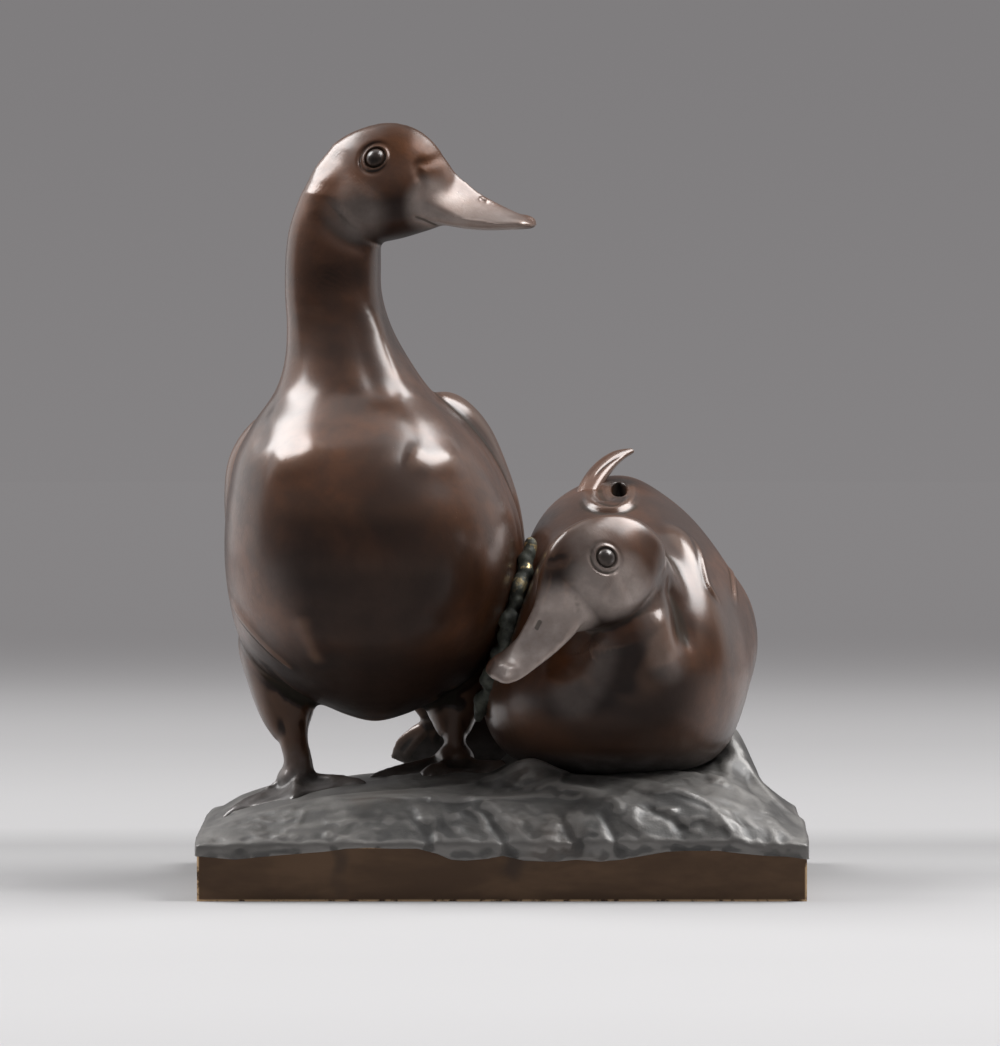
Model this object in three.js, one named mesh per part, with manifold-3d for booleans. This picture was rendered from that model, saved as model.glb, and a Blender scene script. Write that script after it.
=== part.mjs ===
// A bronze group of two ducks on a rectangular plinth, in millimetres, +Z up.
// The origin is the middle of the plinth's underside, -Y is the front, +X is the viewer's right.
// Like the real thing it is an assembly of castings: a plinth frame, a hollow ground cap, two hollow
// ducks with their heads, legs, tail and curl feather cast apart, and the pins, studs and bolts that hold them.
import * as THREE from "three";
import { mergeVertices } from "three/addons/utils/BufferGeometryUtils.js";
import Module from "manifold-3d";

const wasm = await Module();
wasm.setup();

// Fits and walls
const FIT = 0.3; // gap between castings that were fitted to each other
const CASTING_WALL = 3.6; // wall of the hollow ducks
const BEYOND = 400; // reaches past the whole group, for cuts
const NECK_WALL = 3.2; // wall of the standing duck's neck
const NECK_BORE = 5; // radius of the hollow in the head casting

// Plinth frame
const PLINTH_LENGTH = 157;
const PLINTH_DEPTH = 112;
const PLINTH_HEIGHT = 14.2;
const PLINTH_WALL = 5;
const LUG_LENGTH = 12;
const LUG_REACH = 9; // how far a lug stands in from the wall
const LUG_THICKNESS = 4;
const LUG_SPACING = 84; // between the lugs of one long wall

// Ground cap
const GROUND_SKIN = 3.6;
const GROUND_LIP = 1.1; // how far the modelled clay edge hangs out over the plinth
const CORNER_LIP = 0.5; // and at the corners
const GROUND_EDGE = 14.6; // height of the ground along its edge
const CREST_HEIGHT = 31; // of the ground under the crouching duck
const ROCK_HEIGHT = 13; // of the upright rock over the ground round it

// Standing duck
const STANDING_X = -35; // middle of the breast
const TAIL_SWING = 0.2; // sideways drift of the back for each millimetre backwards
const NECK_JOINT_Z = 150; // seam between the head casting and the body casting
const HEAD_SPIGOT_LENGTH = 9;
const STANDING_HOLLOW = { low: 50, high: 148 }; // heights that its casting is hollow between
const LEG_JOINT_Z = 46; // seam between the leg castings and the body casting
const LEG_TENON_RADIUS = 3.6;
const LEG_TENON_LENGTH = 10;

// Crouching duck
const CROUCHING_X = 31; // line of its back
const CROUCHING_HOLLOW = { low: 28, high: 92 };
const BRIDGE_WIDTH = 11; // bar across its open belly, which the bolts are screwed into
const BRIDGE_DEPTH = 7;

// Heads
const EYE_RADIUS = 3;
const CROUCHING_HEAD_SIZE = 0.91; // of the standing duck's head

// Fasteners
const PIN_RADIUS = 1.25;
const PIN_LENGTH = 7;
const PIN_SINK = 1; // how far its end lies under the patinated surface
const TAIL_DOWEL_RADIUS = 2.2;
const STUD_RADIUS = 1.5;
const STUD_GRIP = 6; // length of a stud inside its foot
const NUT_FLATS = 5.5;
const NUT_THICKNESS = 2.4;
const WASHER_RADIUS = 4.2;
const WASHER_THICKNESS = 0.6;
const BOLT_RADIUS = 2.5;
const BRIDGE_Z = 38; // middle of the bar that the bolts are screwed into
const BOLT_HEAD_FLATS = 8;
const BOLT_HEAD_THICKNESS = 3.4;
const SCREW_RADIUS = 1.5;
const SCREW_HEAD_RADIUS = 2.9;
const SCREW_HEAD_THICKNESS = 2;
const SCREW_DEPTH = 3.4; // thread engaged in the ground cap
const SLOT_WIDTH = 0.8;
const SLOT_DEPTH = 0.9;
const PAD_RADIUS = 6; // flat seats under the ground cap for nuts and bolt heads
const PAD_DEPTH = 1.6;

// Finishes
const finish = (color, roughness, metalness) => new THREE.MeshStandardMaterial({ color, roughness, metalness });
const BROWN_BRONZE = finish(0x4a3124, 0.32, 1);
const GREY_BRONZE = finish(0x4b4d4d, 0.55, 0.9);
const PLINTH_BRONZE = finish(0x4a3a2a, 0.42, 1);
const BRASS = finish(0x8f7440, 0.4, 1);
const SOLDER = finish(0x8a8259, 0.6, 0.9);

// Shape helpers

const clamp = (value, low, high) => Math.min(Math.max(value, low), high);
const bell = (distance) => Math.exp(-distance * distance);

// A number of the stations at place s, where s counts stations from 0, on a smooth curve through them all.
function along(stations, pick, s) {
  const i = clamp(Math.floor(s), 0, stations.length - 2);
  const f = s - i;
  const at = (k) => pick(stations[clamp(k, 0, stations.length - 1)]);
  const [p, q, r, e] = [at(i - 1), at(i), at(i + 1), at(i + 2)];
  const bend = 2 * p - 5 * q + 4 * r - e;
  return 0.5 * (2 * q + (r - p) * f + bend * f * f + (3 * q - p - 3 * r + e) * f * f * f);
}

// The height of a smooth curve through [place, height] points.
function curveAt(points, place) {
  const last = points.length - 1;
  const i = clamp(points.findIndex((point) => point[0] > place) - 1, 0, last - 1);
  const from = place >= points[last][0] ? last - 1 : i;
  const share = (place - points[from][0]) / (points[from + 1][0] - points[from][0]);
  return along(points, (point) => point[1], from + clamp(share, 0, 1));
}

// A closed geometry as a solid, turned so that its faces point out.
function solid(geometry) {
  const bare = new THREE.BufferGeometry();
  bare.setAttribute("position", geometry.getAttribute("position").clone());
  bare.setIndex(geometry.getIndex());
  const merged = mergeVertices(bare, 1e-4);
  const vertProperties = new Float32Array(merged.attributes.position.array);
  const make = (triVerts) => new wasm.Manifold(new wasm.Mesh({ numProp: 3, vertProperties, triVerts }));
  const triVerts = new Uint32Array(merged.index.array);
  const made = make(triVerts);
  return made.volume() >= 0 ? made : make(triVerts.reverse());
}

const join = (...solids) => solids.reduce((whole, next) => whole.add(next));
const box = (x, y, z, cx, cy, cz) => solid(new THREE.BoxGeometry(x, y, z).translate(cx, cy, cz));

// A round or many-sided bar of that radius between two points.
function bar(radius, from, to, sides = 12) {
  const axis = new THREE.Vector3().subVectors(to, from);
  const turn = new THREE.Quaternion().setFromUnitVectors(new THREE.Vector3(0, 1, 0), axis.clone().normalize());
  const middle = new THREE.Vector3().addVectors(from, to).multiplyScalar(0.5);
  const shape = new THREE.CylinderGeometry(radius, radius, axis.length(), sides);
  return solid(shape.applyQuaternion(turn).translate(middle.x, middle.y, middle.z));
}

const upright = (radius, x, y, low, high, sides) =>
  bar(radius, new THREE.Vector3(x, y, low), new THREE.Vector3(x, y, high), sides);

// A solid skinned over rings that all have the same number of points.
function skin(rings) {
  const sides = rings[0].length;
  const middle = (ring) => ring.reduce((sum, p) => sum.add(p), new THREE.Vector3()).divideScalar(sides);
  const points = rings.flat().concat(middle(rings[0]), middle(rings[rings.length - 1]));
  const [first, last] = [points.length - 2, points.length - 1];
  const index = [];
  for (let r = 0; r < rings.length - 1; r++)
    for (let k = 0; k < sides; k++) {
      const [a, b] = [r * sides + k, r * sides + ((k + 1) % sides)];
      index.push(a, b, b + sides, a, b + sides, a + sides);
    }
  for (let k = 0; k < sides; k++) {
    const next = (k + 1) % sides;
    const top = (rings.length - 1) * sides;
    index.push(first, next, k, last, top + k, top + next);
  }
  return solid(new THREE.BufferGeometry().setFromPoints(points).setIndex(index));
}

// A loft through sections: centre, side axis, upper axis, lower axis, and how square each half is.
// grow moves the whole surface out, to cut a neighbour that is fitted to this casting, or in, to hollow it.
function loft(sections, sides, steps, grow = 0) {
  const part = (name, axis) => (s) => along(sections, (section) => section[name].getComponent(axis), s);
  const vector = (name, s) => new THREE.Vector3(...[0, 1, 2].map((axis) => part(name, axis)(s)));
  const rings = [];
  const count = (sections.length - 1) * steps;
  for (let i = 0; i <= count; i++) {
    const s = i / steps;
    const axes = { side: vector("side", s), up: vector("up", s), down: vector("down", s) };
    const centre = vector("centre", s);
    const sharp = { up: along(sections, (c) => c.upper, s), down: along(sections, (c) => c.lower, s) };
    const reach = (axis) => axis.clone().setLength(Math.max(axis.length() + grow, 0.02));
    const ring = [];
    for (let k = 0; k < sides; k++) {
      const angle = (2 * Math.PI * k) / sides;
      const half = Math.sin(angle) >= 0 ? "up" : "down";
      const power = 2 / sharp[half];
      const across = Math.sign(Math.cos(angle)) * Math.abs(Math.cos(angle)) ** power;
      const out = Math.abs(Math.sin(angle)) ** power;
      ring.push(
        centre.clone().addScaledVector(reach(axes.side), across).addScaledVector(reach(axes[half]), out),
      );
    }
    rings.push(ring);
  }
  return skin(rings);
}

const vec = (x, y, z) => new THREE.Vector3(x, y, z);
const section = (centre, side, up, down, upper = 2.1, lower = upper) => ({ centre, side, up, down, upper, lower });

// Sections of a limb or lobe that follows a path. A row holds x, y, z, half its width across and half its depth;
// outward gives the direction that its depth faces at a point.
function limbSections(rows, outward) {
  const at = (i) => vec(...rows[clamp(i, 0, rows.length - 1)].slice(0, 3));
  return rows.map(([x, y, z, half, deep], i) => {
    const centre = vec(x, y, z);
    const tangent = at(i + 1).sub(at(i - 1)).normalize();
    const face = outward(centre);
    face.addScaledVector(tangent, -face.dot(tangent)).normalize();
    const side = new THREE.Vector3().crossVectors(tangent, face).multiplyScalar(half);
    return section(centre, side, face.clone().multiplyScalar(deep), face.clone().multiplyScalar(-deep));
  });
}

const ball = (radii, centre, across = 14, around = 10) =>
  solid(new THREE.SphereGeometry(1, across, around).scale(...radii).translate(...centre));

// Ground

// The crest of the ground along X, and how much of it is left from front to back.
const CREST = [
  [-80, 15.5], [-70, 20], [-54, 24.3], [-38, 27], [-18, 28.6], [2, 29.2],
  [22, CREST_HEIGHT - 0.6], [40, CREST_HEIGHT], [56, CREST_HEIGHT - 1.5], [68, 24], [80, 16.5],
];
const FRONT_TO_BACK = [
  [-58, 0], [-52, 0.42], [-44, 0.74], [-30, 0.93], [-8, 1], [22, 0.98], [44, 0.78], [58, 0.42],
];
// Strokes of the modelling tool: place, direction in degrees, half length, half width, height.
const STROKES = [
  [-12, -47, -12, 20, 4.5, 2.6], [10, -49, 14, 14, 4, -1.8], [24, -46, -30, 17, 4.5, 2.4],
  [45, -44, -38, 18, 4, 1.8],
  [-48, -38, 4, 24, 4.5, 1.3], [-30, -28, 10, 18, 3.5, -1.2], [2, -32, 8, 22, 3, 1.4],
  [58, -30, -34, 17, 4, 1.8],
  [70, -10, -52, 20, 4, 2.4], [66, 36, -20, 15, 6, 2], [-62, 30, 30, 16, 6, 1.6], [-45, 44, -10, 20, 5, -1.4],
  [20, 50, 8, 24, 4, 1.6], [-18, -6, 12, 14, 4, 1], [7, -29, 20, 9, 8, 5.5],
];
const ROCK = { x: 61.5, y: 12, halfWidth: 6.5, halfDepth: 17 };

function mound(x, y) {
  return GROUND_EDGE + (curveAt(CREST, x) - GROUND_EDGE) * curveAt(FRONT_TO_BACK, y);
}

function groundHeight(x, y) {
  let height = mound(x, y);
  for (const [cx, cy, degrees, long, wide, rise] of STROKES) {
    const turn = THREE.MathUtils.degToRad(degrees);
    const [dx, dy] = [x - cx, y - cy];
    const lengthwise = dx * Math.cos(turn) + dy * Math.sin(turn);
    const crosswise = dy * Math.cos(turn) - dx * Math.sin(turn);
    height += rise * bell(lengthwise / long) * bell(crosswise / wide);
  }
  height += ROCK_HEIGHT * bell((x - ROCK.x) / ROCK.halfWidth) * bell((y - ROCK.y) / ROCK.halfDepth);
  return Math.max(height, PLINTH_HEIGHT + 0.6);
}

// The wavy lower edge of the clay, by the distance along the edge it hangs over.
const EDGE_LEVEL = 11.9;
const EDGE_WAVE = 1.8;
const EDGE_PERIOD = 87;
const edgeLevel = (place) =>
  EDGE_LEVEL + EDGE_WAVE * Math.cos((2 * Math.PI * (place + 34)) / EDGE_PERIOD) + 0.35 * Math.cos(place / 3.7);

// A solid between an upper and a lower net, closed all round. place gives the point at a column, row and side.
function netSolid(columns, rows, place) {
  const net = (under) =>
    Array.from({ length: (rows + 1) * (columns + 1) }, (_, k) =>
      place(k % (columns + 1), Math.floor(k / (columns + 1)), under),
    );
  const points = net(false).concat(net(true));
  const at = (i, j, under) => (under ? (rows + 1) * (columns + 1) : 0) + j * (columns + 1) + i;
  const index = [];
  const quad = (a, b, c, d) => index.push(a, b, c, a, c, d);
  for (let j = 0; j < rows; j++)
    for (let i = 0; i < columns; i++) {
      quad(at(i, j), at(i + 1, j), at(i + 1, j + 1), at(i, j + 1));
      quad(at(i, j, true), at(i, j + 1, true), at(i + 1, j + 1, true), at(i + 1, j, true));
    }
  for (let i = 0; i < columns; i++) {
    quad(at(i, 0, true), at(i + 1, 0, true), at(i + 1, 0), at(i, 0));
    quad(at(i + 1, rows, true), at(i, rows, true), at(i, rows), at(i + 1, rows));
  }
  for (let j = 0; j < rows; j++) {
    quad(at(0, j + 1, true), at(0, j, true), at(0, j), at(0, j + 1));
    quad(at(columns, j, true), at(columns, j + 1, true), at(columns, j + 1), at(columns, j));
  }
  return solid(new THREE.BufferGeometry().setFromPoints(points).setIndex(index));
}

// A solid between two heights over a net; where turns shares from -1 to 1 into a place on the ground.
const sheetSolid = (columns, rows, where, low, high) =>
  netSolid(columns, rows, (i, j, under) => {
    const [x, y] = where(-1 + (2 * i) / columns, -1 + (2 * j) / rows);
    return vec(x, y, (under ? low : high)(x, y));
  });

// The clay stands out over the plinth, most of all between the corners.
const lipAt = (along, across) =>
  (CORNER_LIP + (GROUND_LIP - CORNER_LIP) * (1 - along ** 6)) * Math.abs(across) ** 8;
const rimPlace = (u, v) => [u * (PLINTH_LENGTH / 2 + lipAt(v, u)), v * (PLINTH_DEPTH / 2 + lipAt(u, v))];

const NET_COLUMNS = 21;
const NET_ROWS = 15;
const rimBottom = (x, y) => Math.min(edgeLevel(x + y), PLINTH_HEIGHT - 0.2);
const groundBlock = (raise = 0) =>
  sheetSolid(NET_COLUMNS, NET_ROWS, rimPlace, rimBottom, (x, y) => groundHeight(x, y) + raise);

// Where the ducks are fastened through the ground, with the height of the flat seat under it.
const seatHeight = (x, y) => mound(x, y) - GROUND_SKIN - PAD_DEPTH;
const LEFT_FOOT = { x: -54.5, y: -2, toeTurn: -90 };
const RIGHT_FOOT = { x: -12.5, y: 9, toeTurn: -108 };
const FRONT_BOLT = { x: 37, y: -8 };
const REAR_BOLT = { x: 33, y: 20 };
const SEATS = [LEFT_FOOT, RIGHT_FOOT, FRONT_BOLT, REAR_BOLT];
const LUG_PLACE = PLINTH_DEPTH / 2 - PLINTH_WALL - LUG_REACH / 2;
const LUGS = [-1, 1].flatMap((side) =>
  [-1, 1].map((end) => ({ x: (end * LUG_SPACING) / 2, y: side * LUG_PLACE, side })),
);

function ground() {
  const inside = (u, v) => [u * (PLINTH_LENGTH / 2 - PLINTH_WALL), v * (PLINTH_DEPTH / 2 - PLINTH_WALL)];
  const ceiling = (x, y) => Math.max(mound(x, y) - GROUND_SKIN, PLINTH_HEIGHT + 0.4);
  const hollow = sheetSolid(12, 9, inside, () => 0, ceiling);
  const overPlinth = box(PLINTH_LENGTH + FIT, PLINTH_DEPTH + FIT, 2 * PLINTH_HEIGHT, 0, 0, 0);
  let cap = groundBlock().subtract(join(overPlinth, hollow));
  for (const seat of SEATS) {
    const low = seatHeight(seat.x, seat.y);
    cap = cap.add(upright(PAD_RADIUS, seat.x, seat.y, low, low + GROUND_SKIN, 10));
  }
  for (const lug of LUGS) {
    const bossTop = mound(lug.x, lug.y) - GROUND_SKIN / 2;
    const boss = upright(LUG_REACH / 2 + 1, lug.x, lug.y, PLINTH_HEIGHT, bossTop, 10);
    cap = cap.add(boss).subtract(upright(SCREW_RADIUS + FIT, lug.x, lug.y, 0, PLINTH_HEIGHT + SCREW_DEPTH + FIT));
  }
  const drill = (radius, { x, y }) => upright(radius + FIT, x, y, 0, BEYOND);
  const studHoles = [LEFT_FOOT, RIGHT_FOOT].map((foot) => drill(STUD_RADIUS, foot));
  const boltHoles = [FRONT_BOLT, REAR_BOLT].map((bolt) => drill(BOLT_RADIUS, bolt));
  return cap.subtract(join(...studHoles, ...boltHoles));
}

function plinth() {
  const [length, depth] = [PLINTH_LENGTH - 2 * PLINTH_WALL, PLINTH_DEPTH - 2 * PLINTH_WALL];
  let frame = box(PLINTH_LENGTH, PLINTH_DEPTH, PLINTH_HEIGHT, 0, 0, PLINTH_HEIGHT / 2);
  frame = frame.subtract(box(length, depth, 2 * PLINTH_HEIGHT, 0, 0, PLINTH_HEIGHT / 2));
  for (const lug of LUGS) {
    const height = PLINTH_HEIGHT - LUG_THICKNESS / 2;
    frame = frame.add(box(LUG_LENGTH, LUG_REACH + 1, LUG_THICKNESS, lug.x, lug.y + lug.side * 0.5, height));
    frame = frame.subtract(upright(SCREW_RADIUS + FIT, lug.x, lug.y, 0, 2 * PLINTH_HEIGHT));
  }
  return frame;
}

// Standing duck

// Level slices of a body: height, left edge, right edge, front, back. The back may drift to the right.
function levelSections(rows, drift = 0) {
  return rows.map(([z, left, right, front, back]) => {
    const y = (front + back) / 2;
    const backward = vec(drift * (back - y), back - y, 0);
    return section(vec((left + right) / 2, y, z), vec((right - left) / 2, 0, 0), vec(0, front - y, 0), backward);
  });
}

// The slice of a body at any height, worked out from the listed ones, which run from the top down.
function sliceAt(rows, z) {
  const below = clamp(rows.findIndex((row) => row[0] <= z), 1, rows.length - 1);
  const share = (rows[below - 1][0] - z) / (rows[below - 1][0] - rows[below][0]);
  return rows[0].map((_, column) => along(rows, (row) => row[column], below - 1 + share));
}

const slicesWithin = (rows, { low, high }) => rows.filter(([z]) => z >= low && z <= high);

const TORSO = [
  [191, -46, -38, -8, 2], [186, -51.2, -35, -11, 5], [180, -54, -33.4, -12, 8], [173, -56.2, -32.4, -13, 9],
  [165, -57.2, -32.2, -14, 9.5], [156, -57.3, -32, -15, 10], [147, -56.8, -29.4, -17, 11],
  [138, -57.4, -24.6, -21, 14], [130, -60, -19, -26, 19], [122, -65.5, -10.5, -35, 26],
  [113.5, -70, -4, -43, 33],
  [103, -72.2, 1.2, -47.2, 38], [94, -73.2, 3.8, -48.4, 42], [84, -73.2, 4.5, -48.6, 45],
  [74, -72, 3.2, -46.5, 47],
  [65, -69.6, 0, -42, 47.5], [57, -64.5, -5.5, -34.5, 47], [50.5, -56, -13, -25, 43],
  [45.5, -45, -22, -13, 34],
  [43, -38, -29, -3, 22], [42.4, -34.5, -32.5, 4, 13],
];

const LEFT_WING = [
  [-58, 3, 123, 2, 2], [-59.5, 7, 118.5, 9, 8], [-60.5, 13, 110, 15, 12], [-58, 23, 96, 19, 11],
  [-50, 33, 80, 18, 9], [-39, 42, 65, 13, 7], [-29, 48, 53, 7, 4.5], [-22, 52, 44, 1.5, 1.2],
];
const RIGHT_WING = [
  [-17, 3, 128, 2, 2], [-15.5, 8, 123.5, 9, 8], [-14.5, 14, 115, 15, 12], [-12, 24, 100, 19, 11],
  [-10.5, 34, 83, 18, 8.5], [-12, 43, 67, 13, 7], [-14.5, 49, 54, 7, 4.5], [-17, 52, 45, 1.5, 1.2],
];
const TAIL = [
  [-24, 38, 62, 13, 8], [-21, 44, 52, 12, 6], [-18, 48, 43, 12.5, 4.4], [-17, 50, 36, 14.5, 3.4],
  [-16.5, 51.5, 29.5, 17.5, 2.4], [-16.5, 52.5, 23, 18, 1.5],
];
const fromSpine = (point) => vec(point.x - STANDING_X - TAIL_SWING * point.y, point.y, 12);
const LEFT_THIGH = [
  [-54, 14, 84, 3, 4], [-56.5, 11, 74, 10, 12], [-58, 8, 63, 12.2, 15], [-57.6, 5, 53, 10, 11.5],
  [-57, 2, 44, 7, 7.5],
];
const RIGHT_THIGH = [
  [-15, 22, 84, 3, 4], [-13.5, 19, 74, 10, 12], [-12.5, 17, 63, 12.2, 15], [-12.8, 15, 53, 10, 11.5],
  [-13, 13, 44, 7, 7.5],
];

const grown = (radii, grow) => radii.map((radius) => radius + grow);
const tailForm = (grow) => loft(limbSections(TAIL, () => vec(0.15, 1, 0.35)), 12, 1, grow);

// A thigh, cut flat where its leg is let in.
const thigh = (rows, grow) =>
  loft(limbSections(rows, () => vec(0, -1, 0)), 12, 1, grow).intersect(halfSpaceAbove(LEG_JOINT_Z + FIT - grow));

function standingForm(grow = 0) {
  return join(
    loft(levelSections(TORSO, TAIL_SWING), 24, 1, grow),
    loft(limbSections(LEFT_WING, fromSpine), 12, 1, grow),
    loft(limbSections(RIGHT_WING, fromSpine), 12, 1, grow),
    ...[LEFT_THIGH, RIGHT_THIGH].map((rows) => thigh(rows, grow)),
  );
}

// Legs: a path from above the seam down to the heel, with the half widths of the shin.
const LEFT_LEG = [
  [-57.4, 1.6, LEG_JOINT_Z + 4, 7.4, 7.6], [-56.6, 0.8, 45, 5.8, 6.4], [-55.6, 0, 41, 4.5, 5.2],
  [-55.1, -1, 37, 3.8, 4.2],
  [-54, -1.6, 32.5, 3.8, 4], [-54, -2, 28, 4.4, 4.6], [-54.3, -2, 22, 5, 5],
];
const RIGHT_LEG = [
  [-12.9, 13, LEG_JOINT_Z + 4, 7.4, 7.6], [-12.8, 12, 45.4, 5.8, 6.4], [-12.7, 11, 42, 4.5, 5.2],
  [-12.5, 10, 38.5, 3.8, 4.2],
  [-12.5, 9.4, 35, 3.8, 4], [-12.5, 9, 31, 4.4, 4.6], [-12.5, 9, 26, 5, 5],
];
const TOE_LENGTH = 25;
const TOE_SPREAD = 52; // degrees from the middle toe to each outer one
const WEB_THICKNESS = 1.5;
const TOE_RISE = 2.1;
const TOES = [-1, 0, 1];
const TOE_STEPS = 5;
const WEB_STEPS = 10;

// A webbed foot that lies on the ground: a fan from the ankle with three raised toes.
function foot({ x, y, toeTurn }) {
  const place = (i, j, under) => {
    const sweep = -1.12 + (2.24 * j) / WEB_STEPS;
    const share = i / TOE_STEPS;
    const angle = THREE.MathUtils.degToRad(toeTurn + sweep * TOE_SPREAD);
    const nearToe = Math.max(...TOES.map((toe) => bell((sweep - toe) / 0.2)));
    const reach = TOE_LENGTH * share * (0.74 + 0.26 * nearToe) * (Math.abs(sweep) > 1.05 ? 0.8 : 1);
    const [px, py] = [x + reach * Math.cos(angle), y + 3 + reach * Math.sin(angle)];
    const rise = WEB_THICKNESS + TOE_RISE * nearToe * (1 - 0.55 * share) + 2.4 * (1 - share) ** 3;
    return vec(px, py, groundHeight(px, py) + (under ? -1 : rise));
  };
  return netSolid(TOE_STEPS, WEB_STEPS, place);
}

// The heel round the stem of the fan, so that the toes start from one solid knuckle.
const heel = ({ x, y }) => ball([5.4, 6, 5.2], [x, y + 0.5, groundHeight(x, y) + 2.4], 10, 7);

function leg(rows, place, raisedGround) {
  const sections = limbSections(rows, () => vec(0, -1, 0));
  const [x, y] = rows[0];
  const tenon = upright(LEG_TENON_RADIUS, x, y, LEG_JOINT_Z - 2, LEG_JOINT_Z + LEG_TENON_LENGTH);
  const bore = upright(STUD_RADIUS + FIT, place.x, place.y, 0, groundHeight(place.x, place.y) + STUD_GRIP + FIT);
  const shin = loft(sections, 12, 1).subtract(halfSpaceAbove(LEG_JOINT_Z));
  return join(shin, heel(place), foot(place), tenon).subtract(raisedGround).subtract(bore);
}

// The socket for a leg's tenon in the body casting.
const legSocket = ([[x, y]]) =>
  upright(LEG_TENON_RADIUS + FIT, x, y, LEG_JOINT_Z - 6, LEG_JOINT_Z + LEG_TENON_LENGTH + FIT);

// Heads, in their own frame: X towards the tip of the bill, Y to the left, Z to the crown

// Slices of the skull: place, crown, throat, half width.
const SKULL = [
  [-18, -2, -6, 1], [-16.6, 3, -10.5, 6], [-13, 9, -14.5, 9.4], [-8, 13.8, -16.6, 11.5], [-2, 17, -17, 12.4],
  [4.5, 17.8, -15.6, 12], [10.5, 16.2, -12.5, 10.4], [16, 12.6, -8.6, 8], [20.5, 9, -5, 5.4], [23, 6, -2, 2],
];
// Slices of the bill: place, ridge, edge, underside, half width, roundness of the ridge.
const BILL = [
  [10, 12, 1, -5.5, 7.6, 1.8], [16, 11.8, 0, -5, 8.8, 1.55], [21, 9.6, -0.8, -4.4, 8.8, 1.5],
  [27, 7.6, -0.7, -3.4, 8.5, 1.55], [32.5, 6.4, 0.4, -1.9, 8.7, 1.7], [38, 5.6, 1.8, 0.2, 9.3, 2],
  [42, 5.1, 3, 1.8, 8.7, 2.4], [44.4, 4.6, 3.7, 3, 6.2, 2.6], [45.2, 4.2, 4, 3.8, 2, 2.4],
];
const BILL_LIP = 0.9; // thickness of the upper mandible's edge
const LOWER_BILL_SHARE = 0.9; // width of the lower mandible against the upper one
const EYE = { x: -2, y: 10.1, z: 7.4 };
const LID = { x: -2, y: 10.7, z: 7.7, radius: 3.7, thickness: 0.65 };
const LID_FACING = { y: 0.9, z: 0.44 };
const NOSTRIL = { radii: [1.9, 0.9, 0.8], x: 27.7, y: 4, z: 5.8 };
const NAIL = { radii: [2.6, 2.6, 1.2], place: [42.4, 0, 4.8] };

// The raised rim round an eye.
function lid(side) {
  const facing = vec(0, side * LID_FACING.y, LID_FACING.z).normalize();
  const turn = new THREE.Quaternion().setFromUnitVectors(vec(0, 0, 1), facing);
  const ring = new THREE.TorusGeometry(LID.radius, LID.thickness, 4, 12).applyQuaternion(turn);
  return solid(ring.translate(LID.x, side * LID.y, LID.z));
}

// The pit of a nostril, in the bill's sloping flank.
const nostril = (side) => ball(NOSTRIL.radii, [NOSTRIL.x, side * NOSTRIL.y, NOSTRIL.z], 7, 4);

function headForm(grow = 0) {
  const skull = SKULL.map(([x, crown, throat, half]) => {
    const middle = throat + (crown - throat) * 0.45;
    return section(vec(x, 0, middle), vec(0, half, 0), vec(0, 0, crown - middle), vec(0, 0, throat - middle));
  });
  const bill = BILL.map(([x, ridge, edge, under, half, round]) => {
    const lip = vec(0, 0, -Math.min(BILL_LIP, edge - under));
    return section(vec(x, 0, edge), vec(0, half, 0), vec(0, 0, ridge - edge), lip, round, 2.4);
  });
  const lowerBill = BILL.map(([x, , edge, under, half]) => {
    const side = vec(0, half * LOWER_BILL_SHARE, 0);
    return section(vec(x, 0, edge), side, vec(0, 0, BILL_LIP / 3), vec(0, 0, under - edge), 2, 2.4);
  });
  const eye = (side) => ball(Array(3).fill(EYE_RADIUS + grow), [EYE.x, side * EYE.y, EYE.z], 9, 7);
  const mandibles = [loft(bill, 12, 1, grow), loft(lowerBill, 8, 1, grow)];
  const eyes = [-1, 1].flatMap((side) => [eye(side), lid(side)]);
  const head = join(loft(skull, 16, 1, grow), ...mandibles, ...eyes, ball(NAIL.radii, NAIL.place, 8, 5));
  return [-1, 1].reduce((whole, side) => whole.subtract(nostril(side)), head);
}

// Turns and places a head: its centre, where the bill points, which way the crown leans, its size.
function headFrame(centre, forward, crown, size = 1) {
  const x = forward.clone().normalize();
  const y = new THREE.Vector3().crossVectors(crown, x).normalize();
  const z = new THREE.Vector3().crossVectors(x, y);
  return new THREE.Matrix4().makeBasis(x, y, z).scale(vec(size, size, size)).setPosition(centre);
}

const STANDING_HEAD = headFrame(vec(-33.2, -4, 185), vec(0.94, -0.08, -0.34), vec(0.34, -0.05, 0.94), 0.97);
const CROUCHING_HEAD = headFrame(
  vec(26, -40, 85.2), vec(-0.64, -0.15, -0.75), vec(-0.6, -0.49, 0.63), CROUCHING_HEAD_SIZE,
);
const placedHead = (frame, grow = 0) => headForm(grow).transform(frame.toArray());

const halfSpaceAbove = (z) => box(BEYOND, BEYOND, BEYOND, 0, 0, z + BEYOND / 2);
const [, neckLeft, neckRight, neckFront, neckBack] = sliceAt(TORSO, NECK_JOINT_Z);
const NECK = { x: (neckLeft + neckRight) / 2, y: (neckFront + neckBack) / 2, radius: (neckRight - neckLeft) / 2 };
const SPIGOT_RADIUS = NECK.radius - NECK_WALL - FIT;
const PIN_Z = NECK_JOINT_Z - HEAD_SPIGOT_LENGTH / 2;
const [, pinLeft, pinRight] = sliceAt(TORSO, PIN_Z);

const neckSpigot = (grow) =>
  upright(SPIGOT_RADIUS + grow, NECK.x, NECK.y, NECK_JOINT_Z - HEAD_SPIGOT_LENGTH - grow, NECK_JOINT_Z + 2, 20);

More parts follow.
